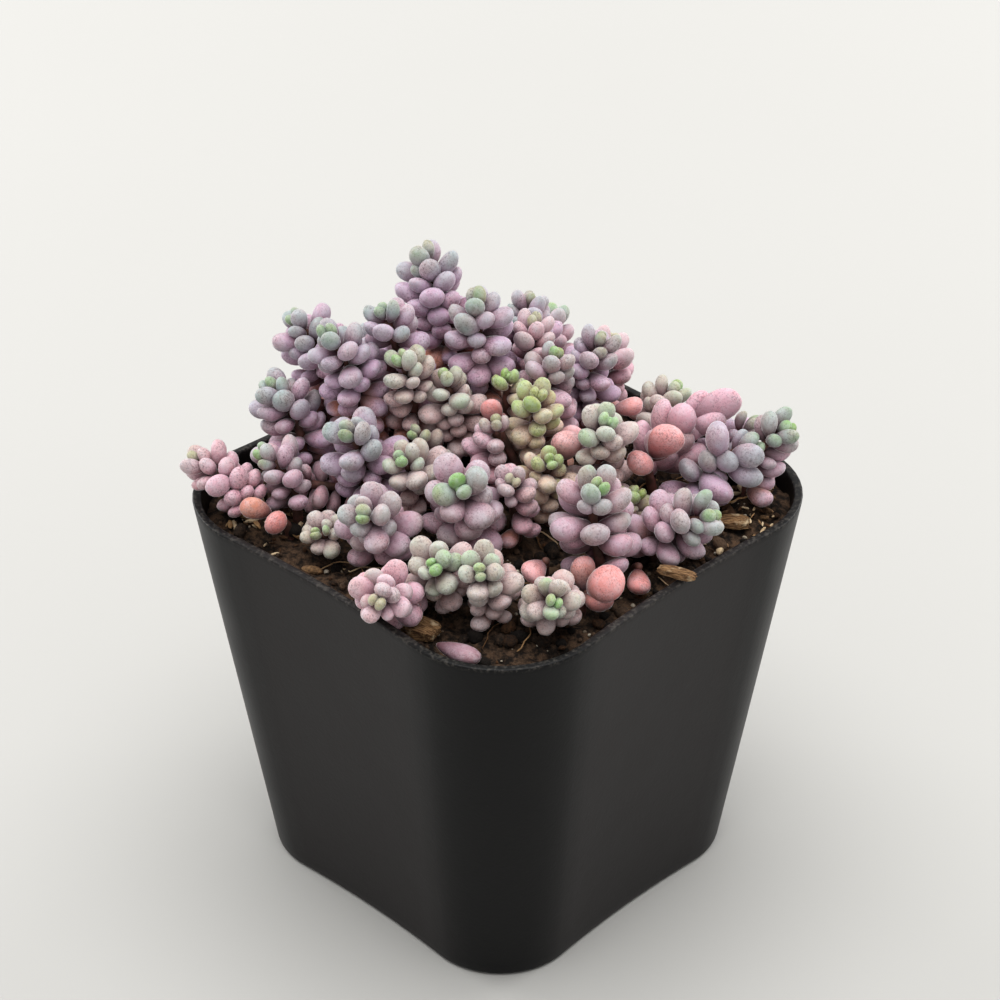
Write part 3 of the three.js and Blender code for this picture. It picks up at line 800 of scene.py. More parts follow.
class Finish:
    """A material under work: its nodes, and the sockets of its surface shader."""

    def __init__(self, name, **constants):
        self.material = bpy.data.materials.new(name)
        self.material.use_nodes = True
        self.tree = self.material.node_tree
        self.surface = self.tree.nodes["Principled BSDF"]
        for socket, value in constants.items():
            self.surface.inputs[socket.replace("_", " ")].default_value = value

    def node(self, kind, settings=None, inputs=None, output=0):
        """A node with its settings made first, then its sockets filled or linked."""
        node = self.tree.nodes.new(kind)
        for setting, value in (settings or {}).items():
            if setting == "stops":
                self.set_stops(node.color_ramp, value)
            else:
                setattr(node, setting, value)
        for socket, value in (inputs or {}).items():
            self.fill(node.inputs[socket], value)
        return Signal(self, node.outputs[output])

    def fill(self, socket, value):
        """Links a socket to a signal, or sets its value."""
        if isinstance(value, Signal):
            self.tree.links.new(value.socket, socket)
        elif hasattr(value, "__len__") and len(value) == 3 and socket.type == "RGBA":
            socket.default_value = (*value, 1)
        else:
            socket.default_value = value

    @staticmethod
    def set_stops(ramp, stops):
        """Gives a colour ramp its stops, each a place and a colour."""
        while len(ramp.elements) < len(stops):
            ramp.elements.new(1)
        for element, (place, colour) in zip(ramp.elements, stops):
            element.position = place
            element.color = (*colour, 1)

    def surface_takes(self, **signals):
        """Links signals to the surface shader's sockets."""
        for socket, value in signals.items():
            self.fill(self.surface.inputs[socket.replace("_", " ")], value)

    def place(self):
        """Where on the piece a point is, in metres."""
        return self.node("ShaderNodeTexCoord", output="Object")

    def attribute(self, name):
        """A vector that the piece's points carry."""
        return self.node("ShaderNodeAttribute", {"attribute_name": name}, output="Vector")

    def split(self, vector):
        """The three parts of a vector."""
        first = self.node("ShaderNodeSeparateXYZ", inputs={0: vector})
        return [Signal(self, part) for part in first.socket.node.outputs]

    def noise(self, place, scale, detail=2.0, roughness=0.5):
        """Cloudy noise from 0 to 1."""
        inputs = {"Vector": place, "Scale": scale, "Detail": detail, "Roughness": roughness}
        return self.node("ShaderNodeTexNoise", inputs=inputs)

    def mix(self, share, colour, other):
        """One colour going over to another."""
        settings = {"data_type": "RGBA", "clamp_factor": True}
        return self.node("ShaderNodeMix", settings, {0: share, 6: colour, 7: other}, output=2)

    def ramp(self, value, stops):
        """A colour picked by a value from a row of stops."""
        return self.node("ShaderNodeValToRGB", {"stops": stops}, {0: value})

    def stretched(self, place, stretch):
        """A place with its axes stretched, for a pattern that runs one way."""
        return self.node("ShaderNodeVectorMath", {"operation": "MULTIPLY"}, {0: place, 1: stretch})

    def bump(self, height, distance, strength=1.0):
        """Small relief on the surface, from a height."""
        inputs = {"Height": height, "Distance": distance, "Strength": strength}
        self.surface_takes(Normal=self.node("ShaderNodeBump", inputs=inputs))


def leaf_finish(plant, tint):
    """Waxy leaf skin whose colour goes with age from the tint's youngest to the old salmon, with painted
    shade towards each leaf's foot.
    """
    heart, top, side = (getattr(plant, f"{tint}_{part}") for part in LEAF_AGES)
    finish = Finish(f"{tint} leaf skin", Subsurface_Weight=0.1, Subsurface_Scale=0.0008,
                    Subsurface_Radius=(1.0, 0.5, 0.4), Sheen_Weight=plant.bloom, Sheen_Roughness=0.22,
                    IOR=1.35)
    place = finish.place()
    along, age, chance = finish.split(finish.attribute("growth"))
    cloud = finish.noise(place, scale=420, detail=3)
    life = age + 0.24 * (cloud - 0.5) + 0.2 * (chance - 0.5) + 0.28 * (0.62 - along)
    skin = finish.ramp(life, [(0, heart), (0.24, top), (0.54, side), (0.84, side), (1, plant.old)])
    blush = finish.noise(place, scale=260, detail=2).between(0.42, 0.66)
    blushed = finish.mix(blush * 0.22, skin, plant.blush)
    # Painted shade: each leaf darkens towards its foot, where the leaves crowd round the stem and shade each
    # other.
    foot = finish.mix((0.72 - along) * 1.5, blushed, plant.foot)
    wax = finish.noise(place, scale=1300, detail=4, roughness=0.7).between(0.36, 0.7)
    waxed = finish.mix(wax * (0.02 + 0.26 * along) + 0.12 * chance, foot, plant.wax)
    patches = finish.noise(place, scale=520, detail=3).between(0.38, 0.66)
    marks = finish.noise(place, scale=4600, detail=3, roughness=0.7).between(0.5, 0.6)
    dots = finish.noise(place, scale=6800, detail=1).between(0.6, 0.68)
    speckled = finish.mix(marks * (0.04 + 0.36 * patches) + dots * 0.26, waxed, plant.speck)
    finish.surface_takes(Base_Color=speckled, Roughness=0.5 + 0.22 * wax)
    grain = finish.noise(place, scale=4200, detail=3, roughness=0.6)
    wrinkles = finish.noise(place, scale=900, detail=2)
    finish.bump(grain * 0.3 + wrinkles, distance=0.16 * MM, strength=0.6)
    return finish.material


def stem_finish(plant):
    """Soft stem skin, pinkish with brown places."""
    finish = Finish("Stem skin", Subsurface_Weight=0.1, Subsurface_Scale=0.001)
    place = finish.place()
    cloud = finish.noise(place, scale=900, detail=4)
    finish.surface_takes(Base_Color=finish.mix(cloud.between(0.35, 0.65), plant.stem, plant.stem_brown),
                         Roughness=0.55 + 0.2 * cloud)
    finish.bump(cloud, distance=0.1 * MM)
    return finish.material


def pot_finish(pot):
    """Satin black plastic with painted reflection, lighter on its flat sides than at its corners, and dusty
    towards the rim.
    """
    finish = Finish("Black pot plastic", Specular_IOR_Level=0.21)
    place = finish.place()
    side, other_side, height = finish.split(place)
    flat = pot.top_width / 2 - pot.corner
    nearer = side.math("MINIMUM", side.size(), other_side.size())
    # Painted reflection: the flat sides get a lighter colour than the corners, standing in for light that the
    # plastic reflects.
    painted_reflection_side = 1 - nearer.between(0.6 * flat, 1.1 * flat)
    cloud = finish.noise(place, scale=120, detail=4, roughness=0.6)
    fine = finish.noise(place, scale=2600, detail=3, roughness=0.6)
    near_rim = height.between(pot.height - 0.6 * MM, pot.height - 0.1 * MM)
    rim_dust = near_rim * fine.between(0.45, 0.7) * 0.2
    grains = rim_dust + fine.between(0.7, 0.78) * cloud.between(0.45, 0.7) * 0.12
    # The painted reflection is laid on as a lighter colour over the flat sides, so the corners stay dark.
    film = finish.mix(painted_reflection_side * (0.75 + 0.5 * (cloud - 0.5)), pot.plastic, pot.film)
    finish.surface_takes(Base_Color=finish.mix(grains, film, pot.dust),
                         Roughness=0.34 + 0.14 * cloud + 0.3 * grains)
    finish.bump(fine * 0.4 + cloud, distance=0.06 * MM, strength=0.5)
    return finish.material


def soil_finish(soil):
    """Dark peaty soil with dry brown lumps and pale flecks."""
    finish = Finish("Potting soil", Specular_IOR_Level=0.25)
    place = finish.place()
    lumps = finish.noise(place, scale=900, detail=5, roughness=0.7)
    fine = finish.noise(place, scale=4200, detail=3, roughness=0.6)
    brown = finish.mix(lumps.between(0.38, 0.64), soil.dark, soil.brown)
    finish.surface_takes(Base_Color=finish.mix(fine.between(0.68, 0.8), brown, soil.pale), Roughness=0.9)
    finish.bump(lumps + fine * 0.4, distance=0.4 * MM)
    return finish.material


def crumb_finish(name, colours):
    """Loose bits that each have a shade of their own."""
    finish = Finish(name, Specular_IOR_Level=0.3)
    place = finish.place()
    chance = finish.split(finish.attribute("growth"))[2]
    grain = finish.noise(place, scale=2800, detail=4, roughness=0.65)
    stops = [(i / (len(colours) - 1), colour) for i, colour in enumerate(colours)]
    finish.surface_takes(Base_Color=finish.ramp(chance + 0.5 * (grain - 0.5), stops), Roughness=0.88)
    finish.bump(grain, distance=0.3 * MM)
    return finish.material


def bark_finish(soil):
    """Weathered bark with its fibres along the bit."""
    finish = Finish("Bark fibres", Specular_IOR_Level=0.3)
    grain = finish.attribute("growth")
    fibres = finish.noise(finish.stretched(grain, (0.6, 5, 5)), scale=1.6, detail=5, roughness=0.65)
    cloud = finish.noise(grain, scale=1.1, detail=3)
    wood = finish.mix(fibres.between(0.36, 0.66), soil.bark_dark, soil.bark)
    weathered = finish.mix(cloud.between(0.55, 0.75), wood, soil.bark_pale)
    finish.surface_takes(Base_Color=weathered, Roughness=0.85)
    finish.bump(fibres, distance=0.5 * MM)
    return finish.material


# Sizes and colours


def colour(name, description, red, green, blue):
    """A colour that a user can change."""
    return FloatVectorProperty(name=name, description=description, subtype="COLOR", size=3, min=0, max=1,
                               default=shade(red, green, blue))


def size(name, description, millimetres):
    """A length that a user can change."""
    return FloatProperty(name=name, description=description, unit="LENGTH", subtype="DISTANCE", min=0,
                         default=millimetres * MM)


class PotSettings(bpy.types.PropertyGroup):
    """The pot's sizes and colours."""

    top_width: size("Top width", "Width across the rim", POT_TOP)
    base_width: size("Base width", "Width across the base", POT_BASE)
    height: size("Height", "Height from base to rim", POT_HEIGHT)
    wall: size("Wall", "Thickness of the wall", POT_WALL)
    floor: size("Floor", "Thickness of the floor", POT_FLOOR)
    corner: size("Corner", "Radius of the upright corners at the rim", POT_CORNER)
    side_bow: size("Side bow", "How far each side bows in at its middle", SIDE_BOW)
    rim_edge: size("Rim edge", "Radius of the rim's edges", RIM_EDGE)
    base_edge: size("Base edge", "Radius of the edge round the base", BASE_EDGE)
    plastic: colour("Plastic", "Colour of the plastic", 10, 10, 11)
    # Painted reflection: the colour of the flat sides, lighter than the corners, stands in for light that the
    # plastic reflects.
    film: colour("Film", "Colour of the flat sides under their film of dust", 35, 32, 32)
    dust: colour("Dust", "Colour of dust on the plastic", 128, 122, 114)


class SoilSettings(bpy.types.PropertyGroup):
    """The soil's bits and colours."""

    crumbs: IntProperty(name="Crumbs", description="Number of loose crumbs", default=1000, min=0)
    chips: IntProperty(name="Chips", description="Number of bark chips", default=210, min=0)
    grit: IntProperty(name="Grit", description="Number of pale grains", default=240, min=0)
    fibres: IntProperty(name="Fibres", description="Number of root fibres", default=46, min=0)
    dark: colour("Dark soil", "Colour of the damp soil", 26, 20, 16)
    brown: colour("Brown soil", "Colour of the dry soil", 92, 72, 56)
    pale: colour("Pale flecks", "Colour of fine sand in the soil", 150, 138, 120)
    grain: colour("Grit", "Colour of the pale grains", 196, 188, 172)
    bark: colour("Bark", "Colour of the bark", 184, 146, 104)
    bark_dark: colour("Dark bark", "Colour between the bark's fibres", 88, 60, 38)
    bark_pale: colour("Pale bark", "Colour of weathered bark", 214, 192, 158)


class PlantSettings(bpy.types.PropertyGroup):
    """The plant's plumpness and colours."""

    plumpness: FloatProperty(name="Plumpness", description="Thickness of the leaves against their length",
                             subtype="FACTOR", default=1.0, min=0.5, max=1.5)
    bloom: FloatProperty(name="Bloom", description="Strength of the powdery bloom", subtype="FACTOR",
                         default=1.0, min=0, max=1)
    old: colour("Old", "Colour of the oldest leaves", 204, 128, 98)
    # Painted shade: the dark colour that leaves take towards their feet, in the gaps between crowded leaves.
    foot: colour("Foot", "Colour towards a leaf's foot", 82, 37, 44)
    blush: colour("Blush", "Colour of the leaves' warmer places", 200, 130, 120)
    wax: colour("Wax", "Colour of the waxy film", 211, 213, 219)
    speck: colour("Specks", "Colour of the fine specks", 62, 42, 50)
    stem: colour("Stem", "Colour of the stems", 112, 72, 64)
    stem_brown: colour("Brown stem", "Colour of the stems' old skin", 66, 44, 34)


# Leaf colours of each tint, for its youngest, grown and ageing leaves
LEAF_AGES = {"heart": "youngest", "top": "grown", "side": "ageing"}
TINTS = {
    "lavender": ((136, 156, 122), (147, 158, 157), (180, 150, 173)),
    "mauve": ((126, 164, 96), (153, 161, 155), (186, 151, 166)),
    "pink": ((166, 164, 132), (184, 168, 168), (208, 164, 177)),
    "salmon": ((216, 170, 166), (228, 172, 174), (214, 142, 138)),
    "sage": ((142, 178, 116), (168, 177, 158), (196, 171, 168)),
    "green": ((144, 174, 88), (162, 182, 118), (202, 176, 154)),
    "fallen": ((104, 84, 82), (134, 112, 116), (154, 130, 146)),
}
for tint, shades in TINTS.items():
    for (part, age), values in zip(LEAF_AGES.items(), shades):
        PlantSettings.__annotations__[f"{tint}_{part}"] = colour(
            f"{tint.capitalize()}, {age}", f"Colour of the {age} {tint} leaves", *values)


class StageSettings(bpy.types.PropertyGroup):
    """The floor and the light."""

    floor: colour("Floor", "Colour of the floor", 172, 171, 168)
    sky: FloatProperty(name="Sky", description="Strength of the light from all round", default=0.84, min=0)
    key: FloatProperty(name="Overhead light", description="Strength of the broad light above", default=2.7,
                       min=0)
    sides: FloatProperty(name="Side lights", description="Power of each soft light behind the sides",
                         unit="POWER", default=1.6, min=0)


# Operators


class STONECROP_OT_pot(bpy.types.Operator):
    """Makes the square plastic pot with its drain holes"""

    bl_idname = "stonecrop.pot"
    bl_label = "Pot"

    def execute(self, context):
        pot = context.scene.stonecrop_pot
        bm = bmesh.new()
        pot_shell(bm, pot)
        drains = [(x * MM, y * MM) for x in (-DRAIN_PLACE, DRAIN_PLACE) for y in (-DRAIN_PLACE, DRAIN_PLACE)]
        for z in (0, pot.floor):
            for drain in drains:
                bmesh.ops.create_circle(bm, radius=DRAIN_HOLE / 2 * MM, segments=DRAIN_SIDES,
                                        matrix=Matrix.Translation((*drain, z)))
            bmesh.ops.triangle_fill(bm, edges=level_edges(bm, z), use_beauty=True)
        for drain in drains:
            middle = Vector(drain)
            rims = [edge for edge in open_edges(bm)
                    if all((vert.co.xy - middle).length < DRAIN_HOLE * MM for vert in edge.verts)]
            bmesh.ops.bridge_loops(bm, edges=rims)
        bmesh.ops.recalc_face_normals(bm, faces=bm.faces)
        round_off(bm, wall_edges(bm, pot.height), pot.rim_edge, RIM_EDGE_STEPS)
        outermost = pot.base_width / 2 - 2 * pot.side_bow
        base = [edge for edge in wall_edges(bm, 0) if edge.verts[0].co.xy.length > outermost]
        round_off(bm, base, pot.base_edge, BASE_EDGE_STEPS)
        for z in (*(cut * MM for cut in WALL_CUTS), pot.height - RIM_CUT * MM):
            bmesh.ops.bisect_plane(bm, geom=bm.verts[:] + bm.edges[:] + bm.faces[:], dist=ON_PLANE,
                                   plane_co=(0, 0, z), plane_no=(0, 0, 1))
        finish_piece(bm, "square_pot", [pot_finish(pot)], ["pot"])
        return {"FINISHED"}


def outline_reach(angle, half, corner):
    """How far the pot's outline is from its middle in a direction."""
    across, up = sorted((abs(math.cos(angle)), abs(math.sin(angle))), reverse=True)
    flat = half - corner
    reach = half / across
    if reach * up < flat:
        for _ in range(OUTLINE_ROUNDS):
            reach = (half - SIDE_BOW * (1 - (reach * up / flat) ** 2)) / across
        return reach
    dot = flat * (across + up)
    return dot + math.sqrt(dot * dot - 2 * flat * flat + corner * corner)


def soil_surface(x, y):
    """Height of the soil that shows: never above the frame's soil by more than a crumb."""
    lumps = noise.fractal(Vector((x, y, LUMP_LAYER)) * LUMPS_PER_MM, *LUMP_FRACTAL)
    return min(soil_hump(x, y), soil_top(x, y) + CRUMB_RISE) + LUMP_HEIGHT * lumps


class STONECROP_OT_soil(bpy.types.Operator):
    """Makes the lumpy block of potting soil"""

    bl_idname = "stonecrop.soil"
    bl_label = "Soil"

    def execute(self, context):
        soil = context.scene.stonecrop_soil
        bm = bmesh.new()
        top = bmesh.ops.create_grid(bm, x_segments=SOIL_POINTS, y_segments=SOIL_POINTS, size=1)["verts"]
        half = POT_TOP / 2 - SOIL_INSET
        for vert in top:
            u, v = vert.co.x, vert.co.y
            share = max(abs(u), abs(v))
            angle = math.atan2(v, u)
            reach = share * outline_reach(angle, half, POT_CORNER - SOIL_INSET)
            x, y = reach * math.cos(angle), reach * math.sin(angle)
            z = soil_surface(x, y)
            taper = (pot_half(z) - SOIL_INSET) / half
            vert.co = Vector((x * taper, y * taper, z)) * MM
        low = only(BMVert, bmesh.ops.extrude_edge_only(bm, edges=open_edges(bm))["geom"])
        bottom = POT_FLOOR + GAP
        scale = (pot_half(bottom) - SOIL_INSET) / (pot_half(SOIL_LEVEL) - SOIL_INSET)
        for vert in low:
            vert.co = Vector((vert.co.x * scale, vert.co.y * scale, bottom * MM))
        bmesh.ops.edgeloop_fill(bm, edges=open_edges(bm))
        bmesh.ops.recalc_face_normals(bm, faces=bm.faces)
        finish_piece(bm, "soil_block", [soil_finish(soil)], ["soil"])
        return {"FINISHED"}


def near_corners(x, y):
    """How much a place belongs to the two corners that the soil is heaped in, from 0 to 1."""
    return max(math.exp(-((math.dist((x, y), middle) / HEAP_REACH) ** 2)) for middle, _, _ in SOIL_MOUNDS[1:])


def scatter_bits(name, finish, count, seed, sizes, slender=(0.6, 1), flat=(0.5, 1), where=None):
    """Loose bits strewn over the soil, as one piece."""
    chance = random.Random(seed)
    bm, growth = growth_mesh()
    smallest, largest = sizes
    placed = 0
    while placed < count:
        x = chance.uniform(-POT_TOP / 2, POT_TOP / 2)
        y = chance.uniform(-POT_TOP / 2, POT_TOP / 2)
        reach = smallest + (largest - smallest) * chance.random() ** 3
        if outside_rim(x, y) > -POT_WALL - SIDE_BOW - BIT_ROOM * reach - BIT_GAP:
            continue
        if where and chance.random() > where(x, y):
            continue
        placed += 1
        heaped = chance.uniform(0, BIT_HEAP) * near_corners(x, y)
        middle = Vector((x, y, soil_surface(x, y) + BIT_RISE * reach * flat[1] + heaped)) * MM
        turn = Matrix.Rotation(chance.uniform(0, 2 * math.pi), 4, "Z")
        tilt = (Matrix.Rotation(chance.gauss(0, BIT_TILT), 4, "X")
                @ Matrix.Rotation(chance.gauss(0, BIT_TILT), 4, "Y"))
        stretch = Matrix.Diagonal((1, chance.uniform(*slender), chance.uniform(*flat), 1))
        matrix = Matrix.Translation(middle) @ turn @ tilt @ stretch @ Matrix.Scale(reach * MM, 4)
        verts = bmesh.ops.create_icosphere(bm, subdivisions=1, radius=1, matrix=matrix)["verts"]
        own = chance.random()
        for vert in verts:
            vert.co = middle + (vert.co - middle) * chance.uniform(*BIT_RAGGEDNESS)
            vert[growth] = (0, 0, own)
    finish_piece(bm, name, [finish], subdivision=1)


class STONECROP_OT_crumbs(bpy.types.Operator):
    """Strews crumbs of soil, chips of bark and pale grains of grit"""

    bl_idname = "stonecrop.crumbs"
    bl_label = "Crumbs and grit"

    def execute(self, context):
        soil = context.scene.stonecrop_soil
        dark = crumb_finish("Soil crumbs", [soil.dark, soil.dark, soil.brown, soil.dark, soil.bark_dark])
        scatter_bits("soil_crumbs", dark, soil.crumbs, seed=5, sizes=(0.3, 1.3))
        barks = [soil.bark_dark, soil.brown, soil.bark, soil.bark_pale, soil.bark_pale]
        scatter_bits("bark_chips", crumb_finish("Bark chips", barks), soil.chips, seed=8,
                     sizes=(0.5, 2.3), slender=(0.16, 0.45), flat=(0.2, 0.4), where=near_corners)
        pale = crumb_finish("Grit grains", [soil.brown, soil.pale, soil.grain])
        scatter_bits("grit_grains", pale, soil.grit, seed=6, sizes=(0.12, 0.4),
                     slender=(0.7, 1), flat=(0.7, 1))
        return {"FINISHED"}


class STONECROP_OT_fibres(bpy.types.Operator):
    """Lays root fibres over the soil"""

    bl_idname = "stonecrop.fibres"
    bl_label = "Root fibres"

    def execute(self, context):
        soil = context.scene.stonecrop_soil
        chance = random.Random(FIBRE_SEED)
        bm, growth = growth_mesh()
        for _ in range(soil.fibres):
            x, y = chance.uniform(*FIBRE_PLACES), chance.uniform(*FIBRE_PLACES)
            heading = chance.uniform(0, 2 * math.pi)
            lift = chance.uniform(*FIBRE_LIFTS)
            points = []
            for step in range(FIBRE_STEPS):
                if outside_rim(x, y) > -POT_WALL - FIBRE_INSET:
                    break
                rise = lift * math.sin(math.pi * step / (FIBRE_STEPS - 1))
                points.append(Vector((x, y, soil_surface(x, y) + FIBRE_RISE + rise)) * MM)
                heading += chance.uniform(-FIBRE_BEND, FIBRE_BEND)
                x += FIBRE_STEP * math.cos(heading)
                y += FIBRE_STEP * math.sin(heading)
            if len(points) < FEWEST_POINTS:
                continue
            radius = chance.uniform(*FIBRE_RADII) * MM
            faces = tube(bm, points, [radius] * len(points), FIBRE_SIDES)
            own = chance.random()
            for vert in {vert for face in faces for vert in face.verts}:
                vert[growth] = (0, 0, own)
        bmesh.ops.recalc_face_normals(bm, faces=bm.faces)
        finish = crumb_finish("Root fibre", [soil.bark_dark, soil.bark, soil.bark_pale])
        finish_piece(bm, "root_fibres", [finish])
        return {"FINISHED"}


def leaf_template(bend, point):
    """An egg-shaped leaf from 0 to 1 along Y, narrow at its foot and flatter on its upper side."""
    bm = bmesh.new()
    bmesh.ops.create_uvsphere(bm, u_segments=LEAF_SIDES, v_segments=LEAF_RINGS, radius=0.5)
    bmesh.ops.rotate(bm, cent=(0, 0, 0), matrix=Matrix.Rotation(-math.pi / 2, 3, "X"), verts=bm.verts)
    bmesh.ops.translate(bm, vec=(0, 0.5, 0), verts=bm.verts)
    for vert in bm.verts:
        along = vert.co.y
        swell = FOOT_BREADTH + END_SWELL * along
        vert.co.x *= swell
        vert.co.z *= swell * (UPPER_FULLNESS if vert.co.z > 0 else LOWER_FULLNESS)
        vert.co.y = 0.5 + LEAF_STRETCH * (along - 0.5) + point * max(along - 0.9, 0) * 10
        vert.co.z += bend * (along - 0.3) ** 2
    return to_mesh(bm, "leaf template")


def add_leaf(bm, growth, template, leaf, plumpness, chance):
    """Copies one leaf onto a stem and writes its growth on its points."""
    before = len(bm.verts)
    bm.from_mesh(template)
    bm.verts.ensure_lookup_table()
    verts = bm.verts[before:]
    own = chance.random()
    for vert in verts:
        vert[growth] = (vert.co.y, leaf.age, own)
    across = leaf.direction.cross(leaf.upper)
    if across.length < NEARLY_UPRIGHT:
        across = leaf.direction.orthogonal()
    across.normalize()
    upper = across.cross(leaf.direction)
    width = leaf.length * leaf.breadth * plumpness * chance.uniform(*LEAF_BREADTHS)
    thickness = width * LEAF_FLATNESS * chance.uniform(*LEAF_THICKNESSES)
    matrix = Matrix.Identity(4)
    matrix.col[0].xyz = across * width
    matrix.col[1].xyz = leaf.direction * leaf.length
    matrix.col[2].xyz = upper * thickness
    matrix.col[3].xyz = leaf.start + leaf.direction * LEAF_STALK
    bmesh.ops.transform(bm, matrix=Matrix.Scale(MM, 4) @ matrix, verts=verts)


class STONECROP_OT_shoots(bpy.types.Operator):
    """Grows the leafy stems"""

    bl_idname = "stonecrop.shoots"
    bl_label = "Leafy stems"

    def execute(self, context):
        plant = context.scene.stonecrop_plant
        tints = sorted({stem.tint for stem in STEMS.values()})
        skins = {tint: leaf_finish(plant, tint) for tint in tints}
        stem_skin = stem_finish(plant)
        templates = [leaf_template(bend, point) for bend, point in LEAF_SHAPES]
        shoots, dressed = grow_plant()
        for number, (name, stem) in enumerate(STEMS.items()):
            chance = random.Random(SHAPE_SEED + number)
            bm, growth = growth_mesh()
            line = shoots[number].whole_line(STEM_RINGS_APART)
            radii = [STEM_RADIUS * (1 - STEM_TAPER * i / len(line)) * MM for i in range(len(line))]
            for face in tube(bm, [point * MM for point in line], radii, STEM_SIDES):
                face.material_index = 1
            bmesh.ops.recalc_face_normals(bm, faces=bm.faces)
            for leaf in dressed[number]:
                add_leaf(bm, growth, chance.choice(templates), leaf, plant.plumpness, chance)
            finish_piece(bm, f"shoot_{name}", [skins[stem.tint], stem_skin],
                         [f"stem_{name}"], subdivision=1)
        for template in templates:
            bpy.data.meshes.remove(template)
        return {"FINISHED"}


class STONECROP_OT_fallen_leaf(bpy.types.Operator):
    """Lays a dropped leaf at the front"""

    bl_idname = "stonecrop.fallen_leaf"
    bl_label = "Fallen leaf"

    def execute(self, context):
        low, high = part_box("fallen_leaf")
        direction = Vector((math.cos(FALLEN_HEADING), math.sin(FALLEN_HEADING), 0))
        middle = (low + high) / 2 / MM
        start = middle - direction * (FALLEN_LENGTH / 2 + LEAF_STALK)
        leaf = Leaf(start, direction, Vector((0, 0, 1)), FALLEN_LENGTH, FALLEN_BREADTH, FALLEN_AGE)
        bm, growth = growth_mesh()
        template = leaf_template(*FALLEN_SHAPE)
        add_leaf(bm, growth, template, leaf, 1, random.Random(FALLEN_SEED))
        bpy.data.meshes.remove(template)
        skin = leaf_finish(context.scene.stonecrop_plant, "fallen")
        finish_piece(bm, "dropped_leaf", [skin], ["fallen_leaf"], subdivision=2)
        return {"FINISHED"}


class STONECROP_OT_bark(bpy.types.Operator):
    """Splits five bits of bark and lays them down"""

    bl_idname = "stonecrop.bark"
    bl_label = "Bark bits"

    def execute(self, context):
        finish = bark_finish(context.scene.stonecrop_soil)
        for number, (name, bit) in enumerate(BARK_BITS.items()):
            chance = random.Random(BARK_SEED + number)
            length, width, thick = bit.size
            low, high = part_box(name)
            bm, growth = growth_mesh()
            block = bmesh.ops.create_cube(bm, size=1)["verts"]
            bmesh.ops.scale(bm, vec=(BARK_INSET * length, BARK_INSET * width, thick), verts=block)
            bmesh.ops.subdivide_edges(bm, edges=bm.edges[:], cuts=BARK_CUTS, use_grid_fill=True)
            for vert in bm.verts:
                ragged = noise.noise(Vector((7 * number, vert.co.y * 4, vert.co.z * 4)))
                ends = abs(vert.co.x) / (BARK_INSET / 2 * length)
                vert.co.x *= 1 + 0.22 * ragged * ends
                vert.co.y *= 1 - 0.3 * ends**3 + 0.16 * noise.noise(vert.co * 1.3)
                vert.co.z *= 0.8 - 0.3 * ends**4
                vert.co.z += 0.14 * thick * noise.noise(Vector((vert.co.x * thick, vert.co.y * 5, number)))
                vert[growth] = vert.co + Vector((9 * number, 0, 0))
            turn = Matrix.Rotation(math.radians(bit.turn), 4, "Z")
            middle = (low + high) / 2
            tilt = Matrix.Rotation(chance.uniform(-BARK_TILT, BARK_TILT), 4, "X")
            move = Matrix.Translation(middle) @ turn @ tilt @ Matrix.Scale(MM, 4)
            bmesh.ops.transform(bm, matrix=move, verts=bm.verts)
            bmesh.ops.recalc_face_normals(bm, faces=bm.faces)
            finish_piece(bm, name.replace("bark", "bark_bit"), [finish], [name], subdivision=1)
        return {"FINISHED"}


def side_light(name, power, place, aim):
    """A soft square light that looks at a point."""
    light = bpy.data.lights.new(name, "AREA")
    light.shape = "SQUARE"
    light.size = SIDE_LIGHT_WIDTH
    light.energy = power
    lamp = to_object(name, light)
    lamp.location = place
    lamp.rotation_euler = (aim - place).to_track_quat("-Z", "Y").to_euler()


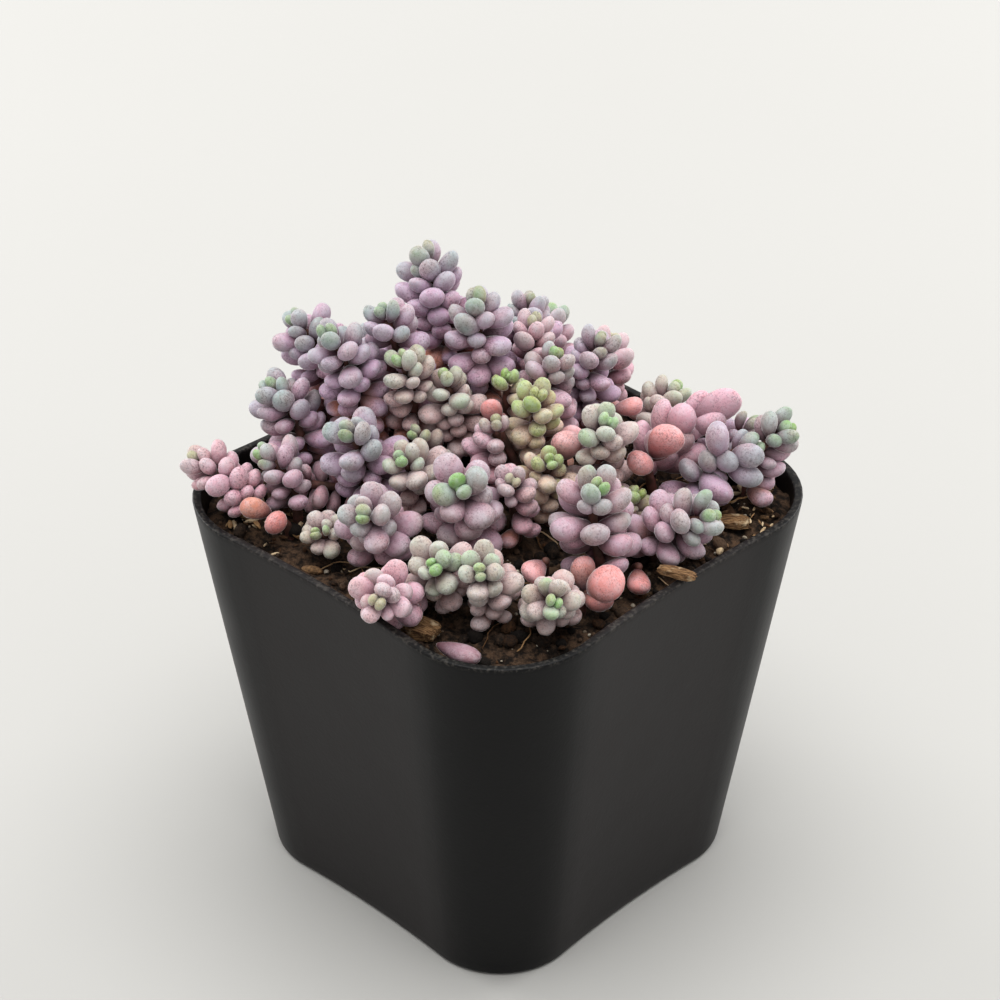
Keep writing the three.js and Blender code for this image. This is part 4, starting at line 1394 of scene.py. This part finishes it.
class STONECROP_OT_stage(bpy.types.Operator):
    """Sets the floor, the soft light and the camera"""

    bl_idname = "stonecrop.stage"
    bl_label = "Stage"

    def execute(self, context):
        scene = context.scene
        stage = scene.stonecrop_stage
        bm = bmesh.new()
        bmesh.ops.create_grid(bm, x_segments=1, y_segments=1, size=FLOOR_REACH)
        mesh = to_mesh(bm, "floor")
        finish = Finish("Pale floor", Roughness=0.6, Specular_IOR_Level=0.2)
        cloud = finish.noise(finish.place(), scale=9, detail=3)
        finish.surface_takes(Base_Color=finish.mix(cloud * 0.12, stage.floor, FLOOR_CLOUD))
        mesh.materials.append(finish.material)
        floor = to_object("floor", mesh)

        world = bpy.data.worlds.new("Soft sky")
        world.use_nodes = True
        sky = world.node_tree.nodes["Background"]
        sky.inputs["Color"].default_value = SKY_TONE
        sky.inputs["Strength"].default_value = stage.sky
        scene.world = world
        scene.view_settings.view_transform = "Standard"
        scene.view_settings.gamma = VIEW_GAMMA

        azimuth, elevation = CAMERA_AZIMUTH, CAMERA_ELEVATION
        right = Vector((math.cos(azimuth), math.sin(azimuth), 0))
        back = Vector((math.sin(azimuth) * math.cos(elevation), -math.cos(azimuth) * math.cos(elevation),
                       math.sin(elevation)))
        target = right * CAMERA_SIDESTEP + Vector((0, 0, AIM_HEIGHT))
        level_back = Vector((back.x, back.y, 0)).normalized()
        key = bpy.data.lights.new("Overhead light", "SUN")
        key.energy = stage.key
        key.angle = KEY_SPREAD
        upward = level_back * KEY_LEAN + Vector((0, 0, 1))
        to_object("Overhead light", key).rotation_euler = upward.to_track_quat("Z", "Y").to_euler()
        for hand, side in (("Left", -1), ("Right", 1)):
            place = (target + right * side * SIDE_LIGHT_ASIDE - level_back * SIDE_LIGHT_BEHIND
                     + Vector((0, 0, SIDE_LIGHT_RISE)))
            side_light(f"{hand} side light", stage.sides, place, target)

        camera = bpy.data.cameras.new("Camera")
        camera.sensor_width = CAMERA_SENSOR
        camera.lens = CAMERA_LENS
        camera.clip_start = 0.01
        camera.clip_end = 20
        viewer = to_object("Camera", camera)
        viewer.location = target + back * CAMERA_DISTANCE
        viewer.rotation_euler = (-back).to_track_quat("-Z", "Y").to_euler()
        scene.camera = viewer
        return {"FINISHED"}


OPERATORS = (STONECROP_OT_pot, STONECROP_OT_soil, STONECROP_OT_crumbs, STONECROP_OT_fibres,
             STONECROP_OT_bark, STONECROP_OT_shoots, STONECROP_OT_fallen_leaf, STONECROP_OT_stage)
SETTINGS = {
    "stonecrop_pot": PotSettings,
    "stonecrop_soil": SoilSettings,
    "stonecrop_plant": PlantSettings,
    "stonecrop_stage": StageSettings,
}


class STONECROP_PT_panel(bpy.types.Panel):
    """Lists the steps that build the potted stonecrop"""

    bl_label = "Potted Stonecrop"
    bl_idname = "STONECROP_PT_panel"
    bl_space_type = "VIEW_3D"
    bl_region_type = "UI"
    bl_category = "Stonecrop"

    def draw(self, context):
        for operator in OPERATORS:
            self.layout.operator(operator.bl_idname)


def register():
    """Adds the settings, the operators and the panel."""
    for settings in SETTINGS.values():
        bpy.utils.register_class(settings)
    for name, settings in SETTINGS.items():
        setattr(bpy.types.Scene, name, PointerProperty(type=settings))
    for operator in OPERATORS:
        bpy.utils.register_class(operator)
    bpy.utils.register_class(STONECROP_PT_panel)


def unregister():
    """Takes them away again."""
    bpy.utils.unregister_class(STONECROP_PT_panel)
    for operator in reversed(OPERATORS):
        bpy.utils.unregister_class(operator)
    for name in SETTINGS:
        delattr(bpy.types.Scene, name)
    for settings in reversed(SETTINGS.values()):
        bpy.utils.unregister_class(settings)


def main():
    """Registers the add-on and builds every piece."""
    register()
    for operator in OPERATORS:
        getattr(bpy.ops.stonecrop, operator.bl_idname.split(".")[1])()


if __name__ == "__main__":
    main()
